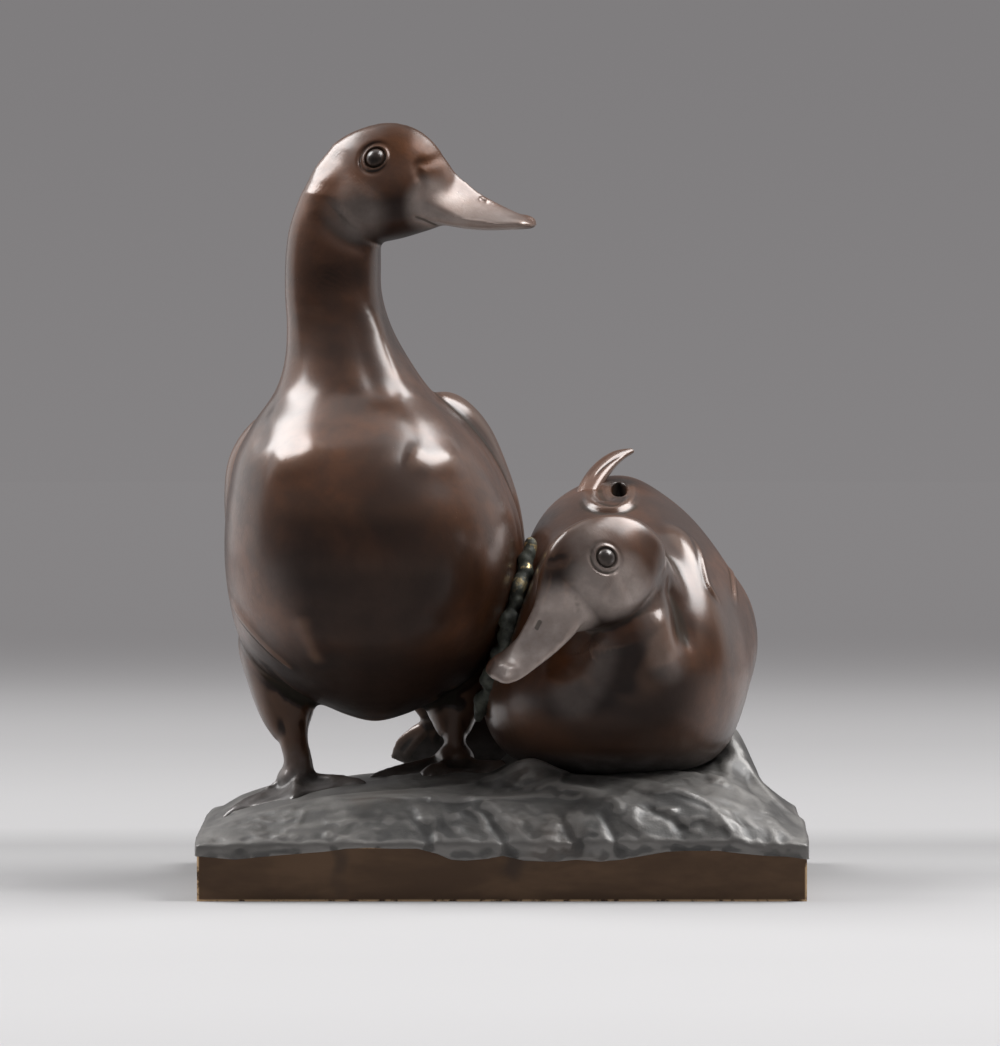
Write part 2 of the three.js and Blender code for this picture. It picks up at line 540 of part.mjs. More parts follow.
// A pin driven through the neck wall into the spigot, with its outer end just under the surface.
function neckPin(side, radius = PIN_RADIUS) {
  const outer = side < 0 ? pinLeft + PIN_SINK : pinRight - PIN_SINK;
  const past = radius > PIN_RADIUS ? 2 * PIN_SINK : 0; // a hole for a pin runs out through the surface
  return bar(radius, vec(outer - side * PIN_LENGTH, NECK.y, PIN_Z), vec(outer + side * past, NECK.y, PIN_Z), 10);
}

function standingHead() {
  const neckTop = loft(levelSections(TORSO, TAIL_SWING), 20, 1).intersect(halfSpaceAbove(NECK_JOINT_Z));
  const core = upright(NECK_BORE, NECK.x, NECK.y, NECK_JOINT_Z - 2 * HEAD_SPIGOT_LENGTH, NECK_JOINT_Z + 16);
  return join(neckTop, placedHead(STANDING_HEAD), neckSpigot(0))
    .subtract(core)
    .subtract(neckPin(-1, PIN_RADIUS + FIT))
    .subtract(neckPin(1, PIN_RADIUS + FIT));
}

const TAIL_DOWEL = [vec(-23.5, 32, 58), vec(-21, 43, 53)];
const tailDowel = (grow) => bar(TAIL_DOWEL_RADIUS + grow, ...TAIL_DOWEL);

function standingBody() {
  const core = loft(levelSections(slicesWithin(TORSO, STANDING_HOLLOW), TAIL_SWING), 12, 1, -CASTING_WALL);
  return [
    halfSpaceAbove(NECK_JOINT_Z - FIT), core, neckSpigot(FIT), legSocket(LEFT_LEG), legSocket(RIGHT_LEG),
    neckPin(-1, PIN_RADIUS + FIT), neckPin(1, PIN_RADIUS + FIT), tailDowel(FIT),
  ].reduce((body, cut) => body.subtract(cut), standingForm());
}

const standingTail = (raisedGround) =>
  tailForm(0).subtract(standingForm(FIT)).subtract(raisedGround).add(tailDowel(0));

// Crouching duck

const CROUCH = [
  [29, 14, 52, -18, 14], [32, 4, 60, -27, 26], [37, -2, 64, -34.5, 33], [46, -5.5, 65.5, -40, 38],
  [56, -5, 66.5, -41.5, 43], [66, 0, 66, -39, 46], [74, 3, 64, -34, 48], [82, 5, 61, -26.5, 48.5],
  [90, 7, 55.8, -16, 48], [97, 11, 49.8, -3, 46], [102, 16.5, 43.5, 9, 43], [105.3, 23, 38.5, 20, 40],
  [107.2, 29, 34.5, 28, 35],
];
const RIGHT_SHOULDER = [
  [44, -2, 94, 2.5, 2.5], [46.5, -9, 89, 6, 5], [48.5, -17, 79, 7, 7], [51, -22.5, 67, 7.5, 8],
  [53.5, -22, 56, 7, 7], [55, -15, 46, 3, 3],
];
const LEFT_SHOULDER = [
  [18, -2, 93, 2.5, 2.5], [15.5, -9, 87, 6, 5], [13, -17, 77, 7, 7], [10, -22, 65, 7.5, 8],
  [7, -21, 55, 7, 7], [5.5, -15, 46, 3, 3],
];
const HUMPS = [[[15.5, 26, 22], [53, 12, 63]], [[15, 26, 22], [10, 14, 60]]];
const CROUCH_NECK = [
  [28, -33, 89, 9, 9], [32, -29, 84, 12, 12], [33.5, -28.5, 76, 13.2, 13], [34, -30, 67, 13.6, 13.4],
  [34, -30.5, 58, 14.5, 12.6], [33.5, -28, 50, 12.5, 11], [33, -21, 42, 7, 6],
];
const CROUCH_TAIL = [
  [29.5, 34, 91, 13, 8], [30, 42, 97, 12, 6], [31, 49, 102, 9.5, 4], [31.5, 54, 106, 5, 1.8],
];
// The slot beside the curl feather and the rim of the cup in front of it.
const CURL_POCKET = [[2.2, 8.5, 4.8], [31.2, 15, 102.6]];
const CURL_CUP = [[6.4, 6, 3.2], [28.6, 8, 98.6]];
const CURL = [
  [21, 31, 97, 2.4, 2], [22.6, 31.5, 102, 2.7, 1.8], [25.2, 32.4, 106.3, 2.7, 1.5],
  [28.3, 33.4, 109.8, 2.4, 1.3],
  [31.8, 34.2, 112.2, 1.6, 1], [35.3, 34.8, 113.3, 0.7, 0.6],
];
const CROUCH_SPIGOT = [vec(33, -39, 78), vec(33, -24, 69)];
const CROUCH_DOWEL = [vec(29.5, 34, 90), vec(31, 49.5, 102)];

const awayFromBack = (point) => vec(point.x - CROUCHING_X, point.y * 0.8, 0);

function crouchingForm(grow = 0) {
  return join(
    loft(levelSections(CROUCH), 24, 1, grow),
    loft(limbSections(RIGHT_SHOULDER, awayFromBack), 12, 1, grow),
    loft(limbSections(LEFT_SHOULDER, awayFromBack), 12, 1, grow),
    ...HUMPS.map(([radii, place]) => ball(grown(radii, grow), place, 11, 8)),
    ball(grown(CURL_CUP[0], grow), CURL_CUP[1], 10, 7),
  );
}

const crouchNeck = () => loft(limbSections(CROUCH_NECK, () => vec(0, -1, 0.2)), 18, 1);
const crouchSpigot = (grow) => bar(6 + grow, ...CROUCH_SPIGOT, 16);
const crouchDowel = (grow) => bar(TAIL_DOWEL_RADIUS + grow, ...CROUCH_DOWEL);
const curlForm = (grow = 0) => loft(limbSections(CURL, () => vec(-0.35, -0.8, 0.45)), 8, 2, grow);

// The bar across the open belly, with its underside clear of the ground.
function bridge() {
  const middle = vec((FRONT_BOLT.x + REAR_BOLT.x) / 2, (FRONT_BOLT.y + REAR_BOLT.y) / 2, BRIDGE_Z);
  return box(BRIDGE_WIDTH, BEYOND, BRIDGE_DEPTH, middle.x, middle.y, middle.z);
}

function crouchingBody(raisedGround) {
  const core = loft(levelSections(slicesWithin(CROUCH, CROUCHING_HOLLOW)), 12, 1, -CASTING_WALL);
  const cuts = [
    ball(...CURL_POCKET, 10, 8), standingForm(FIT), raisedGround, crouchSpigot(FIT), crouchDowel(FIT),
    curlForm(FIT),
    ...[FRONT_BOLT, REAR_BOLT].map(({ x, y }) => upright(BOLT_RADIUS + FIT, x, y, 0, BRIDGE_Z + 30)),
  ];
  const shell = crouchingForm().subtract(core).add(bridge().intersect(crouchingForm(-1)));
  return cuts.reduce((body, cut) => body.subtract(cut), shell);
}

const crouchingHead = () =>
  join(crouchNeck(), placedHead(CROUCHING_HEAD))
    .subtract(crouchingForm(FIT))
    .subtract(standingForm(FIT))
    .add(crouchSpigot(0));

const crouchingTail = () =>
  loft(limbSections(CROUCH_TAIL, () => vec(0, -0.6, 0.8)), 12, 2)
    .subtract(crouchingForm(FIT))
    .add(crouchDowel(0));

// The solder run in where the two ducks touch.
const SEAM = [
  [8, -8, 90, 1.6, 2], [5.5, -13.5, 82, 2, 2.6], [3, -17, 73, 2, 2.6], [0.6, -18.5, 64, 2, 2.6],
  [-3, -15, 54, 2.4, 2.6],
  [-6, -9, 45, 1.6, 2],
];
const seam = () =>
  [standingForm(FIT), crouchingForm(FIT), placedHead(CROUCHING_HEAD, FIT)].reduce(
    (bead, neighbour) => bead.subtract(neighbour),
    loft(limbSections(SEAM, () => vec(0, -1, 0)), 10, 1),
  );

// Fixings

const hexagon = (flats, thickness, { x, y }, low) =>
  upright(flats / Math.sqrt(3), x, y, low, low + thickness, 6);
const hole = (radius, { x, y }) => upright(radius, x, y, 0, BEYOND);

function studs(place) {
  const seat = seatHeight(place.x, place.y);
  const nutTop = seat - WASHER_THICKNESS;
  const top = groundHeight(place.x, place.y) + STUD_GRIP;
  return {
    stud: upright(STUD_RADIUS, place.x, place.y, nutTop - NUT_THICKNESS - 1, top),
    washer: upright(WASHER_RADIUS, place.x, place.y, nutTop, seat, 12).subtract(hole(STUD_RADIUS + FIT, place)),
    nut: hexagon(NUT_FLATS, NUT_THICKNESS, place, nutTop - NUT_THICKNESS).subtract(hole(STUD_RADIUS + FIT, place)),
  };
}

function bolt(place) {
  const seat = seatHeight(place.x, place.y);
  return join(
    hexagon(BOLT_HEAD_FLATS, BOLT_HEAD_THICKNESS, place, seat - BOLT_HEAD_THICKNESS),
    upright(BOLT_RADIUS, place.x, place.y, seat - 1, BRIDGE_Z + BRIDGE_DEPTH / 2 + 1),
  );
}

function plinthScrew(lug) {
  const lugBottom = PLINTH_HEIGHT - LUG_THICKNESS;
  const headBottom = lugBottom - SCREW_HEAD_THICKNESS;
  const head = upright(SCREW_HEAD_RADIUS, lug.x, lug.y, headBottom, lugBottom, 12);
  const slot = box(2 * SCREW_HEAD_RADIUS + 1, SLOT_WIDTH, 2 * SLOT_DEPTH, lug.x, lug.y, headBottom);
  const thread = upright(SCREW_RADIUS, lug.x, lug.y, lugBottom - 1, PLINTH_HEIGHT + SCREW_DEPTH, 10);
  return join(head, thread).subtract(slot);
}

// Assembly

const model = new THREE.Group();

function part(group, name, made, material) {
  const { vertProperties, triVerts } = made.getMesh();
  const geometry = new THREE.BufferGeometry();
  geometry.setAttribute("position", new THREE.BufferAttribute(vertProperties, 3));
  geometry.setIndex(new THREE.BufferAttribute(triVerts, 1));
  geometry.computeVertexNormals();
  const mesh = new THREE.Mesh(geometry, material);
  mesh.name = name;
  group.add(mesh);
}

const [base, standing, crouching, fixings] = Array.from({ length: 4 }, () => new THREE.Group());
model.add(base, standing, crouching, fixings);
const raisedGround = groundBlock(FIT).add(box(BEYOND, BEYOND, PLINTH_HEIGHT, 0, 0, 0));

part(base, "plinth", plinth(), PLINTH_BRONZE);
part(base, "ground", ground(), GREY_BRONZE);

part(standing, "standing_body", standingBody(), BROWN_BRONZE);
part(standing, "standing_head", standingHead(), BROWN_BRONZE);
part(standing, "standing_left_leg", leg(LEFT_LEG, LEFT_FOOT, raisedGround), BROWN_BRONZE);
part(standing, "standing_right_leg", leg(RIGHT_LEG, RIGHT_FOOT, raisedGround), BROWN_BRONZE);
part(standing, "standing_tail", standingTail(raisedGround), BROWN_BRONZE);

part(crouching, "crouching_body", crouchingBody(raisedGround), BROWN_BRONZE);
part(crouching, "crouching_head", crouchingHead(), BROWN_BRONZE);
part(crouching, "crouching_tail", crouchingTail(), BROWN_BRONZE);
part(crouching, "curl_feather", curlForm(), BROWN_BRONZE);
part(crouching, "solder_seam", seam(), SOLDER);

for (const [name, side] of [["left", -1], ["right", 1]]) part(fixings, `neck_pin_${name}`, neckPin(side), BRASS);
for (const [name, place] of [["left", LEFT_FOOT], ["right", RIGHT_FOOT]]) {
  const { stud, washer, nut } = studs(place);
  part(fixings, `foot_stud_${name}`, stud, BRASS);
  part(fixings, `foot_washer_${name}`, washer, BRASS);
  part(fixings, `foot_nut_${name}`, nut, BRASS);
}
part(fixings, "body_bolt_front", bolt(FRONT_BOLT), BRASS);
part(fixings, "body_bolt_rear", bolt(REAR_BOLT), BRASS);
LUGS.forEach((lug, i) => part(fixings, `plinth_screw_${i + 1}`, plinthScrew(lug), BRASS));

export default model;
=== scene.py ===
"""The looks of a small bronze group: a standing duck and a crouching duck on modelled ground over a plinth.
Shapes are worked out in millimetres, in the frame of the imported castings, and go to Blender in metres."""

import math

import bmesh
import bpy
import numpy as np
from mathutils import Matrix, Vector
from mathutils.bvhtree import BVHTree


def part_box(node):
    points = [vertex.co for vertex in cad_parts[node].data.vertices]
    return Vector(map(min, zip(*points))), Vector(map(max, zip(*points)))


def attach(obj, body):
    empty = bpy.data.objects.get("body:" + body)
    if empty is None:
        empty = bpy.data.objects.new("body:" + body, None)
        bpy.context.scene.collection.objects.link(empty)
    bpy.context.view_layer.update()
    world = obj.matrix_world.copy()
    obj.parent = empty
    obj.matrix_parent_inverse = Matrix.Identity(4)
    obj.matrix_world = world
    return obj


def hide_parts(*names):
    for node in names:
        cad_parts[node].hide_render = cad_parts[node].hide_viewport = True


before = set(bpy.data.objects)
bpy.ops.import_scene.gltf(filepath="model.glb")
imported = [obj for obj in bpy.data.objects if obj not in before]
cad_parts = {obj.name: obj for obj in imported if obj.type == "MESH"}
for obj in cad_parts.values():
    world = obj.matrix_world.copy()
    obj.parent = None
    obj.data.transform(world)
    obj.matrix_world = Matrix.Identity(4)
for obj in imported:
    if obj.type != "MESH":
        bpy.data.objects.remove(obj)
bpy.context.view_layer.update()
MM = 0.001
rng = np.random.default_rng(7)

# The camera of the photograph, in millimetres and in pixels of the photograph
PHOTO_SIZE = (1000, 1046)
CAMERA_PLACE = np.array([-0.5, -1856.0, 172.0])
FOCAL_PIXELS = 7016
HORIZON_ROW = 232.5
PITCH = math.atan((PHOTO_SIZE[1] / 2 - HORIZON_ROW) / FOCAL_PIXELS)
SENSOR = 36


def make_camera():
    data = bpy.data.cameras.new("camera")
    data.sensor_fit = "VERTICAL"
    data.sensor_height = SENSOR
    data.sensor_width = SENSOR
    data.lens = FOCAL_PIXELS * SENSOR / PHOTO_SIZE[1]
    camera = bpy.data.objects.new("camera", data)
    camera.location = CAMERA_PLACE * MM
    camera.rotation_euler = (math.pi / 2 - PITCH, 0, 0)
    bpy.context.scene.collection.objects.link(camera)
    bpy.context.scene.camera = camera


make_camera()


# Curves and lofts, in millimetres

NEARLY_ROUND = 2.1  # how square a slice's outline is: 2 is an ellipse, more is squarer


def along(stations, places):
    """Rows of numbers on a smooth curve through the stations, at places that count stations from 0."""
    stations = np.asarray(stations, float)
    last = len(stations) - 1
    first = np.clip(np.floor(places).astype(int), 0, last - 1)
    share = (places - first)[:, None]
    before, start, end, after = (stations[np.clip(first + k, 0, last)] for k in (-1, 0, 1, 2))
    slope = end - before
    bend = 2 * before - 5 * start + 4 * end - after
    twist = 3 * start - before - 3 * end + after
    return 0.5 * (2 * start + slope * share + bend * share**2 + twist * share**3)


def curve_at(points, places):
    """Heights of a smooth curve through (place, height) points, at an array of places."""
    points = np.asarray(points, float)
    flat = np.ravel(places)
    first = np.clip(np.searchsorted(points[:, 0], flat, "right") - 1, 0, len(points) - 2)
    share = np.clip((flat - points[first, 0]) / (points[first + 1, 0] - points[first, 0]), 0, 1)
    return along(points, first + share)[:, 1].reshape(np.shape(places))


def bell(distance):
    return np.exp(-distance * distance)


def unit(vectors):
    return vectors / np.maximum(np.linalg.norm(vectors, axis=-1, keepdims=True), 1e-9)


def section(centre, side, up, down, upper=NEARLY_ROUND, lower=None):
    """One slice of a loft: its centre, half axes, and how square its upper and lower halves are."""
    return [*centre, *side, *up, *down, upper, upper if lower is None else lower]


def loft(sections, around=72, steps=7):
    """Points and faces of a closed surface drawn smoothly through slices."""
    rows = along(sections, np.linspace(0, len(sections) - 1, (len(sections) - 1) * steps + 1))
    angle = np.linspace(0, 2 * np.pi, around, endpoint=False)
    cos, sin = np.cos(angle), np.sin(angle)
    centre, side, up, down = (rows[:, None, 3 * k:3 * k + 3] for k in range(4))
    power = 2 / np.where(sin >= 0, rows[:, 12:13], rows[:, 13:14])
    across = np.sign(cos) * np.abs(cos) ** power
    out = np.abs(sin) ** power
    height = np.where(sin[None, :, None] >= 0, up, down)
    rings = centre + side * across[..., None] + height * out[..., None]
    return skin(rings)


def skin(rings):
    """Points and faces of a closed surface over rings that have the same number of points."""
    count, around = rings.shape[:2]
    points = np.vstack([rings.reshape(-1, 3), rings[0].mean(0), rings[-1].mean(0)])
    ring, spot = np.meshgrid(np.arange(count - 1), np.arange(around), indexing="ij")
    low = (ring * around + spot).ravel()
    low_next = (ring * around + (spot + 1) % around).ravel()
    faces = np.stack([low, low_next, low_next + around, low + around], 1).tolist()
    top = (count - 1) * around
    for k in range(around):
        following = (k + 1) % around
        faces.append([len(points) - 2, following, k])
        faces.append([len(points) - 1, top + k, top + following])
    return points, faces


def level_sections(rows, drift=0.0):
    """Slices of a body by height: height, left edge, right edge, front, back. The back may drift sideways."""
    made = []
    for z, left, right, front, back in rows:
        y = (front + back) / 2
        side = ((right - left) / 2, 0, 0)
        forwards, backwards = (0, front - y, 0), (drift * (back - y), back - y, 0)
        made.append(section(((left + right) / 2, y, z), side, forwards, backwards))
    return made


def limb_sections(rows, outward):
    """Slices of a limb along a path: x, y, z, half width, half depth. Its depth faces outward(place)."""
    rows = np.asarray(rows, float)
    made = []
    last = len(rows) - 1
    for i, (x, y, z, half, deep) in enumerate(rows):
        tangent = unit(rows[min(i + 1, last), :3] - rows[max(i - 1, 0), :3])
        face = np.asarray(outward((x, y, z)), float)
        face = unit(face - face @ tangent * tangent)
        side = np.cross(tangent, face) * half
        made.append(section((x, y, z), side, face * deep, -face * deep))
    return made


def limb(rows, outward, around=48, steps=8):
    return loft(limb_sections(rows, outward), around, steps)


def ball(radii, centre, across=48, around=32):
    """Points and faces of an ellipsoid."""
    pole = 0.03
    turn = np.linspace(0, 2 * np.pi, across, endpoint=False)
    tilt = np.linspace(pole, np.pi - pole, around)
    ring = np.stack([np.cos(turn), np.sin(turn), np.zeros(across)], 1)
    rings = ring[None] * np.sin(tilt)[:, None, None]
    rings[..., 2] = -np.cos(tilt)[:, None]
    return skin(rings * np.array(radii) + np.array(centre))


# Clay: a closed surface that is worked before it is cast

FILL_SHARE = 0.7  # how far a round of filling moves a point towards its neighbours
FILL_CHECK = 6  # rounds of filling between two looks at where the surface faces
PATCH_CORE = 1.6  # how fast a patch rises from its rim to its even middle
STROKE_STEP = 0.35  # millimetres between the places of a stroke
STROKE_REACH = 2.6  # how many widths a stroke reaches
STROKE_TAPER = 0.3  # share of a stroke's length over which each of its ends fades


def in_box(points, places, reach):
    """Which points lie in the box round some places, widened by reach."""
    return np.all((points > places.min(0) - reach) & (points < places.max(0) + reach), axis=1)


def smooth_step(share):
    return share * share * (3 - 2 * share)


def mesh_of(name, lumps):
    """One Blender mesh from several lumps."""
    points, faces, start = [], [], 0
    for lump_points, lump_faces in lumps:
        points.append(np.asarray(lump_points, float))
        faces += [[start + corner for corner in face] for face in lump_faces]
        start += len(lump_points)
    mesh = bpy.data.meshes.new(name)
    mesh.from_pydata(np.vstack(points), [], faces)
    mesh.update()
    return mesh


def add_object(name, mesh):
    made = bpy.data.objects.new(name, mesh)
    bpy.context.scene.collection.objects.link(made)
    return made


def applied(thing):
    """The mesh of an object with its modifiers applied. The object itself goes."""
    evaluated = thing.evaluated_get(bpy.context.evaluated_depsgraph_get())
    mesh = bpy.data.meshes.new_from_object(evaluated)
    old = thing.data
    bpy.data.objects.remove(thing)
    bpy.data.meshes.remove(old)
    return mesh


def remeshed(name, lumps, grain):
    """Lumps melted into one skin of even faces."""
    thing = add_object(name, mesh_of(name, lumps))
    melt = thing.modifiers.new("melt", "REMESH")
    melt.mode = "VOXEL"
    melt.voxel_size = grain
    melt.use_smooth_shade = True
    return applied(thing)


class Clay:
    """A closed surface in millimetres that is worked like modelling clay."""

    def __init__(self, mesh):
        self.mesh = mesh
        self.read()

    def read(self):
        """Takes points and edges from the mesh."""
        count = len(self.mesh.vertices)
        self.points = np.empty(count * 3)
        self.mesh.vertices.foreach_get("co", self.points)
        self.points = self.points.reshape(-1, 3)
        edges = np.empty(len(self.mesh.edges) * 2, np.int64)
        self.mesh.edges.foreach_get("vertices", edges)
        self.ends = edges.reshape(-1, 2).T
        self.links = np.maximum(np.bincount(self.ends.ravel(), minlength=count), 1)[:, None]
        self.tree = None

    def write(self):
        """Gives the points to the mesh."""
        self.mesh.vertices.foreach_set("co", self.points.astype(np.float32).ravel())
        self.mesh.update()
        self.tree = None

    def lump(self):
        """The surface as points and faces, to be melted with others."""
        return self.points, [list(face.vertices) for face in self.mesh.polygons]

    def normals(self):
        self.write()
        out = np.empty(len(self.points) * 3, np.float32)
        self.mesh.vertex_normals.foreach_get("vector", out)
        return out.reshape(-1, 3).astype(float)

    def neighbours(self, values):
        """The mean of each point's neighbours."""
        a, b = self.ends
        count = len(values)
        columns = [np.bincount(a, v[b], count) + np.bincount(b, v[a], count) for v in values.T]
        return np.stack(columns, 1) / self.links

    def spread(self, values, rounds):
        """Values smoothed over the surface."""
        values = values.reshape(len(values), -1)
        for _ in range(rounds):
            values = 0.5 * values + 0.5 * self.neighbours(values)
        return values[:, 0]

    def relax(self, rounds, weight=1.0):
        weight = np.broadcast_to(np.asarray(weight, float).reshape(-1, 1), (len(self.points), 1))
        for _ in range(rounds):
            self.points += 0.5 * weight * (self.neighbours(self.points) - self.points)

    def fillet(self, rounds, gain=9.0):
        """Fills the creases between joined forms, as a thumb does, and leaves round forms alone."""
        for done in range(rounds):
            if done % FILL_CHECK == 0:
                normals = self.normals()
            pull = self.neighbours(self.points) - self.points
            hollow = np.clip(gain * np.sum(pull * normals, 1), 0, 1)
            self.points += self.spread(hollow, 3)[:, None] * FILL_SHARE * pull

    def near(self, place, radius):
        """How close each point is to a place: 1 there, 0 from radius on."""
        far = np.linalg.norm(self.points - np.asarray(place, float), axis=1) / radius
        return np.clip(1 - far, 0, 1)

    def patches(self, spots):
        """1 on round patches that fade out at their rims, 0 elsewhere."""
        most = np.zeros(len(self.points))
        for place, radius, strength in spots:
            share = np.clip(PATCH_CORE * self.near(place, radius), 0, 1)
            most = np.maximum(most, strength * smooth_step(share))
        return most

    def refine(self, chosen):
        """Divides the faces whose corners are all chosen."""
        self.write()
        shape = bmesh.new()
        shape.from_mesh(self.mesh)
        shape.verts.ensure_lookup_table()
        for vertex in shape.verts:
            vertex.tag = bool(chosen[vertex.index])
        edges = [edge for edge in shape.edges if edge.verts[0].tag and edge.verts[1].tag]
        bmesh.ops.subdivide_edges(shape, edges=edges, cuts=1, use_grid_fill=True)
        shape.to_mesh(self.mesh)
        shape.free()
        self.read()

    def merge(self, chosen, distance):
        """Joins chosen points that lie closer together than distance."""
        self.write()
        shape = bmesh.new()
        shape.from_mesh(self.mesh)
        shape.verts.ensure_lookup_table()
        points = [shape.verts[i] for i in np.flatnonzero(chosen)]
        bmesh.ops.remove_doubles(shape, verts=points, dist=distance)
        shape.to_mesh(self.mesh)
        shape.free()
        self.read()

    def bvh(self):
        if self.tree is None:
            self.write()
            self.tree = BVHTree.FromPolygons(
                self.points.tolist(), [list(face.vertices) for face in self.mesh.polygons]
            )
        return self.tree

    def closest(self, places):
        """The surface's nearest points to some places."""
        return np.array([self.bvh().find_nearest(Vector(place))[0] for place in places])

    def seen(self, pixels):
        """The surface's points behind pixels of the photograph."""
        forward = np.array([0, math.cos(PITCH), -math.sin(PITCH)])
        upward = np.array([0, math.sin(PITCH), math.cos(PITCH)])
        found, depth = [], -CAMERA_PLACE[1]
        for column, row in pixels:
            across = (column - PHOTO_SIZE[0] / 2) / FOCAL_PIXELS
            rise = (PHOTO_SIZE[1] / 2 - row) / FOCAL_PIXELS
            ray = unit(forward + across * np.array([1.0, 0, 0]) + rise * upward)
            hit = self.bvh().ray_cast(Vector(CAMERA_PLACE), Vector(ray))[0]
            if hit is None:
                hit = self.bvh().find_nearest(Vector(CAMERA_PLACE + ray * depth))[0]
            found.append(hit)
            depth = (hit - Vector(CAMERA_PLACE)).length
        return np.array(found)

    def along_path(self, path, reach):
        """The points within reach of a path, the path's place nearest to each, and the point nearest to each
        place. The path is taken ten places at a time."""
        close = np.flatnonzero(in_box(self.points, path, reach))
        spots = self.points[close]
        least = np.full(len(close), reach * reach)
        nearest = np.full(len(close), -1)
        above = np.zeros(len(path), int)
        for start in range(0, len(path), 10):
            part = path[start:start + 10]
            inside = np.flatnonzero(in_box(spots, part, reach))
            if not len(inside):
                continue
            square = ((spots[inside, None] - part[None]) ** 2).sum(2)
            above[start:start + len(part)] = close[inside[square.argmin(0)]]
            found = square.argmin(1)
            better = square.min(1) < least[inside]
            least[inside[better]] = square.min(1)[better]
            nearest[inside[better]] = start + found[better]
        kept = nearest >= 0
        return close[kept], nearest[kept], above

    def stroke(self, line, width, rise, lap=None):
        """Draws the tool along a line on the surface: it raises the clay by rise, or cuts it where rise is
        below 0, fading over width. With lap, the side to the right of the line fades over lap instead."""
        line = np.asarray(line, float)
        length = np.linalg.norm(np.diff(line, axis=0), axis=1).sum()
        path = along(line, np.linspace(0, len(line) - 1, max(int(length / STROKE_STEP), 8)))
        inside, nearest, above = self.along_path(path, STROKE_REACH * max(width, lap or width))
        if not len(inside):
            return
        normals = self.normals()
        tangents = unit(np.gradient(path, axis=0))
        faces = unit(normals[above])[nearest]
        offset = self.points[inside] - path[nearest]
        offset -= np.sum(offset * faces, 1)[:, None] * faces
        away = np.linalg.norm(offset, axis=1)
        right = np.sum(offset * np.cross(tangents[nearest], faces), 1) > 0
        wide = np.where(right, width if lap is None else lap, width)
        share = nearest / (len(path) - 1)
        ends = smooth_step(np.clip(np.minimum(share, 1 - share) / STROKE_TAPER, 0, 1))
        turned = np.clip(np.sum(normals[inside] * faces, 1) * 1.6, 0, 1)
        height = rise * bell(away / wide) * ends * turned
        self.points[inside] += normals[inside] * height[:, None]

    def press(self, place, radii, axis):
        """Presses an egg-shaped pocket into the clay: half width, half height and depth, open along axis."""
        axis = unit(np.array(axis, float))
        side = unit(np.cross(axis, (0, 0, 1)))
        up = np.cross(side, axis)
        offset = self.points - np.asarray(place, float)
        away = np.hypot(offset @ side / radii[0], offset @ up / radii[1])
        floor = -radii[2] * np.sqrt(np.clip(1 - away**2, 0, 1))
        height = offset @ axis
        sunk = (away < 1) & (height > floor) & (height < 3 * radii[2])
        self.points[sunk] += ((floor - height)[:, None] * axis)[sunk]

    def strokes(self, table):
        """Strokes that the photograph shows: pixels along the line, width, rise, and any lap."""
        lines = [self.seen(pixels) for pixels, *rest in table]
        for line, (pixels, width, rise, *lap) in zip(lines, table):
            self.stroke(line, width, rise, *lap)

    def hollows(self, rounds=8, gain=5.0):
        """Where the surface is hollow (towards 1) or a ridge (towards 0), with 0.5 on even stretches."""
        normals = self.normals()
        smooth = self.points.copy()
        for _ in range(rounds):
            smooth = self.neighbours(smooth)
        depth = np.sum((smooth - self.points) * normals, 1)
        return np.clip(0.5 + gain * self.spread(depth, 2), 0, 1)


NO_FOOTING = (-2, -1)


def cast(name, clay, nodes, finish, slot, footing=NO_FOOTING, dull=(), rubbed_and_sheen=(), dark=()):
    """The finished piece in metres. Between footing's two heights its brown gives way to the ground's grey.
    The last three lists give places, each with a radius and a strength: where the polish is gone, where the
    metal is worn bright, partly as painted highlight, and where it is darkest: round the eyes, and as painted
    shade in the curl's slot."""
    low, high = footing
    marks = {
        "hollow": clay.hollows(),
        "footing": np.clip((high - clay.points[:, 2]) / (high - low), 0, 1),
        "matt": clay.patches(dull),
        "rubbed_and_sheen": clay.patches(rubbed_and_sheen),
        "eye": clay.patches(dark),
    }
    clay.write()
    mesh = clay.mesh
    mesh.vertices.foreach_set("co", (clay.points * MM).astype(np.float32).ravel())
    for key, values in marks.items():
        attribute = mesh.attributes.new(key, "FLOAT", "POINT")
        attribute.data.foreach_set("value", values.astype(np.float32))
    mesh.polygons.foreach_set("use_smooth", np.ones(len(mesh.polygons), bool))
    mesh.update()
    show(name, mesh, nodes, finish)


def show(name, mesh, nodes, finish):
    """A piece of the group, in place of the castings that it stands for."""
    mesh.name = name
    mesh.materials.clear()
    mesh.materials.append(finish)
    piece = add_object(name, mesh)
    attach(piece, "root")
    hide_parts(*nodes)


# Finishes


class Term:
    """A shader value that can be added, multiplied and compared like a number."""

    def __init__(self, graph, socket):
        self.graph, self.socket = graph, socket

    def sum_up(self, operation, first, second):
        return self.graph.node("ShaderNodeMath", {"operation": operation}, {0: first, 1: second})

    def __add__(self, other):
        return self.sum_up("ADD", self, other)

    def __sub__(self, other):
        return self.sum_up("SUBTRACT", self, other)

    def __mul__(self, other):
        return self.sum_up("MULTIPLY", self, other)

    def __rsub__(self, other):
        return self.sum_up("SUBTRACT", other, self)

    __radd__ = __add__
    __rmul__ = __mul__

    def larger(self, other):
        return self.sum_up("MAXIMUM", self, other)

    def step(self, low, high):
        """0 below low, 1 above high, smooth between."""
        values = {"Value": self, "From Min": low, "From Max": high}
        return self.graph.node("ShaderNodeMapRange", {"interpolation_type": "SMOOTHSTEP"}, values)


